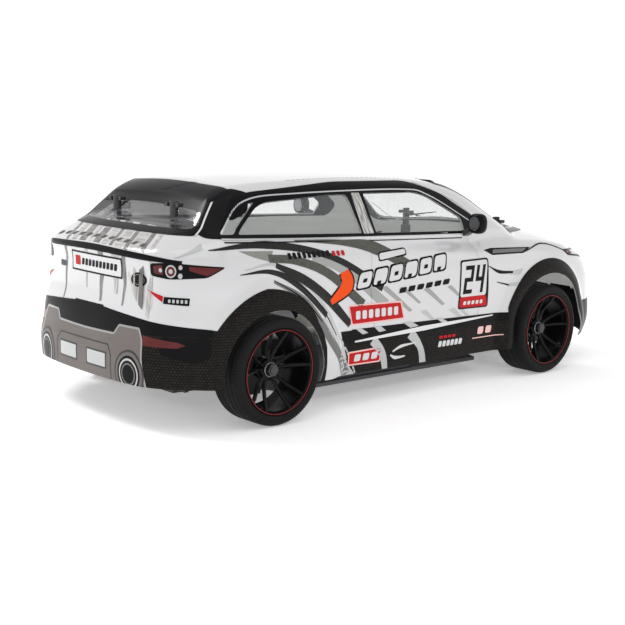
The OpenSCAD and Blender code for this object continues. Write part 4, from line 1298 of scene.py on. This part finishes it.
def rim_mesh(name):
    """Black deep-dish rim with five pairs of thin spokes."""
    barrel = [(12.3, 25.9), (12.6, 25.6), (12.3, 25.1), (11.6, 24.5), (9.5, 24.1), (-11.5, 23.6), (-12, 24.4),
              (-12, RIM_R - 0.1), (12.3, 25.9)]
    hub = [(-6, 0.01), (-6, 6.8), (1.5, 6.8), (2.6, 5.6), (2.9, 3.4), (2.2, 3.2), (2.2, 0.01)]
    parts = [revolve(barrel, 128, "barrel", rim_gloss), revolve(hub, 48, "hub", rim_gloss)]
    for k in range(5):
        for twin in (-1, 1):
            angle = math.radians(90 + 72 * k) + twin * math.radians(8)
            v, f = spoke_mesh(angle, twin * 2.6, 2.6, 2.2)
            parts.append(new_object("spoke", v, f, rim_gloss, smooth=False))
    return join(parts, name)


RED_RING = [(12.5, 25.60), (12.8, 25.52), (12.8, 25.22), (12.5, 25.14)]
CAP_RING = [(3.0, 4.6), (3.5, 4.4), (3.5, 3.9), (3.0, 3.7), (3.0, 4.6)]
ring_red = material("ring_red", (0.26, 0.010, 0.012), roughness=0.35, grain=0.02, specular=0.2)
dark_chrome = material("dark_chrome", (0.25, 0.25, 0.26), roughness=0.2, metallic=1.0, grain=0.02)


def place_wheel_piece(obj, end, side, body_name, *nodes, slot_name):
    """Moves a piece drawn about a left wheel's centre to its own corner, and hangs it on the wheel's body."""
    flip = Matrix.Diagonal((1, side, 1, 1))
    obj.data.transform(Matrix.Translation(Vector((end * AXLE_X, side * WHEEL_Y, AXLE_Z)) * MM) @ flip)
    if side < 0:
        obj.data.flip_normals()
    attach(obj, body_name)
    if nodes:
        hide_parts(*nodes)


for corner, end, side in CORNERS:
    wheel_body = "wheel_" + corner
    place_wheel_piece(tyre_mesh("tyre_tread_" + corner), end, side, wheel_body, "tyre_" + corner,
                      slot_name="tyre_rubber")
    place_wheel_piece(rim_mesh("rim_spokes_" + corner), end, side, wheel_body, "rim_" + corner,
                      slot_name="rim_black")
    ring = revolve(RED_RING, 128, "rim_ring_" + corner, ring_red)
    place_wheel_piece(ring, end, side, wheel_body, slot_name="rim_black")
    cap = revolve(CAP_RING, 48, "hub_ring_" + corner, dark_chrome)
    place_wheel_piece(cap, end, side, wheel_body, slot_name="rim_black")


# ---------------------------------------------------------------- chassis looks

# Each shock stands this far outside its axle; its ends are given as (distance from the middle, height)
SHOCK_U = 17.0
SHOCK_TOP = np.array([26.0, 72.0])
SHOCK_FOOT = np.array([46.0, 21.0])

anodised_red = material("anodised_red", (0.45, 0.02, 0.02), roughness=0.25, metallic=0.9, grain=0.15)
anodised_orange = material("anodised_orange", (0.75, 0.24, 0.03), roughness=0.28, metallic=0.85, grain=0.15)
brass = material("brass", (0.65, 0.45, 0.16), roughness=0.28, metallic=1.0, grain=0.15, colour_spread=0.1)
gear_nylon = material("gear_nylon", (0.75, 0.74, 0.69), roughness=0.45, grain=0.2, colour_spread=0.05)
battery_wrap = material("battery_wrap", (0.012, 0.014, 0.022), roughness=0.35, grain=0.3, colour_spread=0.3)
dark_steel = material("dark_steel", (0.06, 0.06, 0.065), roughness=0.35, metallic=0.8, grain=0.15)
foam = material("foam", (0.03, 0.03, 0.03), roughness=0.9, grain=1.0, grain_size=500, colour_spread=0.4)
motor_can = material("motor_can", (0.42, 0.42, 0.44), roughness=0.32, metallic=1.0, grain=0.2, grain_size=900)
switch_red = material("switch_red", (0.5, 0.02, 0.02), roughness=0.4, grain=0.2)
composite = material("composite", (0.05, 0.05, 0.054), roughness=0.48, grain=0.5, grain_size=1500,
                     colour_spread=0.3)

NODE_LOOKS = [
    ("chassis_plate", composite), ("bulkhead", nylon), ("front_bumper", foam), ("body_posts", nylon),
    ("battery_pack", battery_wrap), ("receiver_unit", satin_black), ("power_switch", switch_red),
    ("motor", motor_can), ("pinion_gear", brass), ("centre_shaft", gear_nylon), ("spool", steel),
    ("servo_horn", gear_nylon), ("servo", satin_black), ("drag_link", anodised_orange),
    ("body_clips", satin_black), ("screws", steel), ("lower_arm", nylon), ("upper_link", nylon),
    ("c_hub", nylon), ("knuckle", nylon), ("hub_carrier", nylon), ("tie_rod", steel), ("axle", dark_steel),
    ("dogbone", steel), ("shock_body", anodised_red), ("shock_rod", steel),
]


def dress_cad_nodes():
    """Gives every carried-over CAD node its worked-out material."""
    for obj in list(bpy.data.objects):
        if obj.type != "MESH":
            continue
        for start, look in NODE_LOOKS:
            if obj.name.startswith(start):
                obj.data.materials.clear()
                obj.data.materials.append(look)
                break


def coil_spring(corner, end, side):
    """Wound spring between the shock's collar and the rod's plate."""
    length = np.linalg.norm(SHOCK_FOOT - SHOCK_TOP)
    along = (SHOCK_FOOT - SHOCK_TOP) / length
    across = np.array([-along[1], along[0]])
    low = 11.6
    high = length - 9.7
    coil_r = 5.55
    wire_r = 0.62
    turns = 6.5
    n, around = 200, 8
    verts = []
    for i in range(n + 1):
        t = i / n
        a = 2 * math.pi * turns * t
        squeeze = 0.5 - 0.5 * math.cos(math.pi * min(max((t - 0.08) / 0.84, 0), 1))
        h = low + (high - low) * (0.2 * squeeze + 0.8 * t)
        for k in range(around):
            b = 2 * math.pi * k / around
            r = coil_r + wire_r * math.cos(b)
            u = SHOCK_U + r * math.cos(a)
            v = r * math.sin(a)
            y, z = SHOCK_TOP + along * (h + wire_r * math.sin(b)) + across * v
            verts.append((end * (AXLE_X + u), side * y, z))
    faces = []
    for i in range(n):
        here, there = i * around, (i + 1) * around
        for k in range(around):
            k_next = (k + 1) % around
            faces.append((here + k, here + k_next, there + k_next, there + k))
    faces += [tuple(range(around - 1, -1, -1)), tuple(n * around + k for k in range(around))]
    if end * side < 0:
        faces = [f[::-1] for f in faces]
    spring = new_object("spring_" + corner, verts, faces, spring_black)
    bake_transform(spring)


spring_black = material("spring_black", (0.03, 0.03, 0.032), roughness=0.3, coat=0.5, grain=0.1)
dress_cad_nodes()
for corner, end, side in CORNERS:
    coil_spring(corner, end, side)


# ---------------------------------------------------------------- mirrors

def mirror_cup():
    """Door mirrors: squarish cups cut flat at the back, on short necks, with a glass each."""
    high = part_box("mirrors")[1]
    cup_size = np.array([5.2, 6.4, 7.0])
    centre = np.array([46.0, high.y / MM - cup_size[1] - 1.5, 114.5])
    around, down = 40, 20
    a, b = np.meshgrid(np.linspace(0, 2 * math.pi, around, endpoint=False),
                       np.linspace(-1.5, 1.5, down), indexing="ij")

    def squarer(value):
        """Bends a sine or cosine, so that the circle it draws has flatter sides."""
        return np.sign(value) * np.abs(value) ** 0.72

    unit = np.stack([squarer(np.cos(b)) * squarer(np.cos(a)), squarer(np.cos(b)) * squarer(np.sin(a)),
                     squarer(np.sin(b))], -1)
    verts = unit.reshape(-1, 3) * cup_size
    flat_x = -3.6
    verts[:, 0] = np.maximum(verts[:, 0], flat_x)
    i, j = np.meshgrid(np.arange(around), np.arange(down - 1), indexing="ij")
    k = (i + 1) % around
    faces = np.stack([i * down + j, k * down + j, k * down + j + 1, i * down + j + 1], -1)
    faces = faces.reshape(-1, 4).tolist()
    faces.append([q * down for q in range(around)][::-1])
    faces.append([q * down + down - 1 for q in range(around)])
    glass_rim = [(flat_x - 0.15, 4.6 * math.cos(t), 5.0 * math.sin(t))
                 for t in np.linspace(0, 2 * math.pi, 32)[:-1]]
    neck = [(45, 80, 105), (51, 80, 105), (49.5, 90, 110.5), (44, 90, 110.5),
            (43, 80, 109), (50, 80, 110), (48.5, 90, 113), (43.5, 90, 113)]
    neck_faces = [(0, 3, 2, 1), (4, 5, 6, 7), (0, 1, 5, 4), (1, 2, 6, 5), (2, 3, 7, 6), (3, 0, 4, 7)]
    for side, word in ((1, "left"), (-1, "right")):
        flip = np.array([1, side, 1])
        turned = faces if side > 0 else [f[::-1] for f in faces]
        cup = new_object("mirror_cup_" + word, (verts + centre) * flip, turned, black)
        turned = neck_faces if side > 0 else [f[::-1] for f in neck_faces]
        foot = new_object("mirror_neck_" + word, np.array(neck) * flip, turned, satin_black, smooth=False)
        ring = (np.array(glass_rim) + centre) * flip
        order = list(range(len(ring)))[::-side]
        face = new_object("mirror_face_" + word, ring, [order], dark_chrome, smooth=False)
        for obj in (cup, foot, face):
            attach(obj, "shell")
        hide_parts("mirrors")


mirror_cup()


# ---------------------------------------------------------------- stage

def make_sky():
    """White surroundings, brightest at the horizon and dimmer overhead."""
    world = bpy.data.worlds.new("studio")
    bpy.context.scene.world = world
    world.use_nodes = True
    nodes, links = world.node_tree.nodes, world.node_tree.links
    sky = nodes["Background"]
    sky.inputs["Color"].default_value = (1, 1, 1, 1)
    direction = nodes.new("ShaderNodeTexCoord")
    parts = nodes.new("ShaderNodeSeparateXYZ")
    fall = nodes.new("ShaderNodeMapRange")
    fall.inputs["From Min"].default_value = 0.15
    fall.inputs["From Max"].default_value = 0.7
    fall.inputs["To Min"].default_value = 1.1
    fall.inputs["To Max"].default_value = 0.62
    links.new(direction.outputs["Generated"], parts.inputs["Vector"])
    links.new(parts.outputs["Z"], fall.inputs["Value"])
    links.new(fall.outputs["Result"], sky.inputs["Strength"])


def make_floor():
    """Pale floor that glows a little, so that it stays near white out of the shadow."""
    paper = material("floor", (0.97, 0.97, 0.97), roughness=0.9, specular=0.1,
                     emission_color=(1, 1, 1, 1), emission_strength=0.3)
    reach = 4000    # millimetres each way
    corners = [(-reach, -reach, 0), (reach, -reach, 0), (reach, reach, 0), (-reach, reach, 0)]
    floor = new_object("floor", corners, [(0, 1, 2, 3)], paper, smooth=False)


def make_lamps():
    """Soft lights, all aimed at the middle of the ground; the key stands behind the car."""
    for name, place, size, power in (("key", (-0.7, 1.1, 1.5), 0.6, 17),
                                     ("top", (-0.2, -0.5, 1.8), 1.6, 5),
                                     ("fill", (1.2, -1.1, 0.9), 1.0, 1)):
        lamp = bpy.data.lights.new(name, "AREA")
        lamp.energy = power
        lamp.size = size
        obj = bpy.data.objects.new(name, lamp)
        obj.location = place
        obj.rotation_mode = "QUATERNION"
        obj.rotation_quaternion = (Vector(place) * -1).to_track_quat("-Z", "Y")
        bpy.context.scene.collection.objects.link(obj)


def make_camera():
    """Camera to the rear right of the car, a little above it."""
    lens = bpy.data.cameras.new("camera")
    lens.sensor_width = 36
    lens.lens = 66.2
    lens.clip_start, lens.clip_end = 0.01, 50
    camera = bpy.data.objects.new("camera", lens)
    yaw, pitch, roll = math.radians(48.03), math.radians(9.36), math.radians(1.57)
    ahead = Vector((math.cos(pitch) * math.cos(yaw), math.cos(pitch) * math.sin(yaw), -math.sin(pitch)))
    level_right = ahead.cross(Vector((0, 0, 1))).normalized()
    level_up = level_right.cross(ahead)
    right = math.cos(roll) * level_right + math.sin(roll) * level_up
    up = -math.sin(roll) * level_right + math.cos(roll) * level_up
    turn = Matrix((right, up, -ahead)).transposed().to_4x4()
    place = Vector((DRAWING_ORIGIN[0] * MM - 0.562, -0.6012, 0.1793))
    camera.matrix_world = Matrix.Translation(place) @ turn
    bpy.context.scene.collection.objects.link(camera)
    bpy.context.scene.camera = camera


make_floor()
make_sky()
make_lamps()
bpy.context.scene.view_settings.view_transform = "Standard"
make_camera()
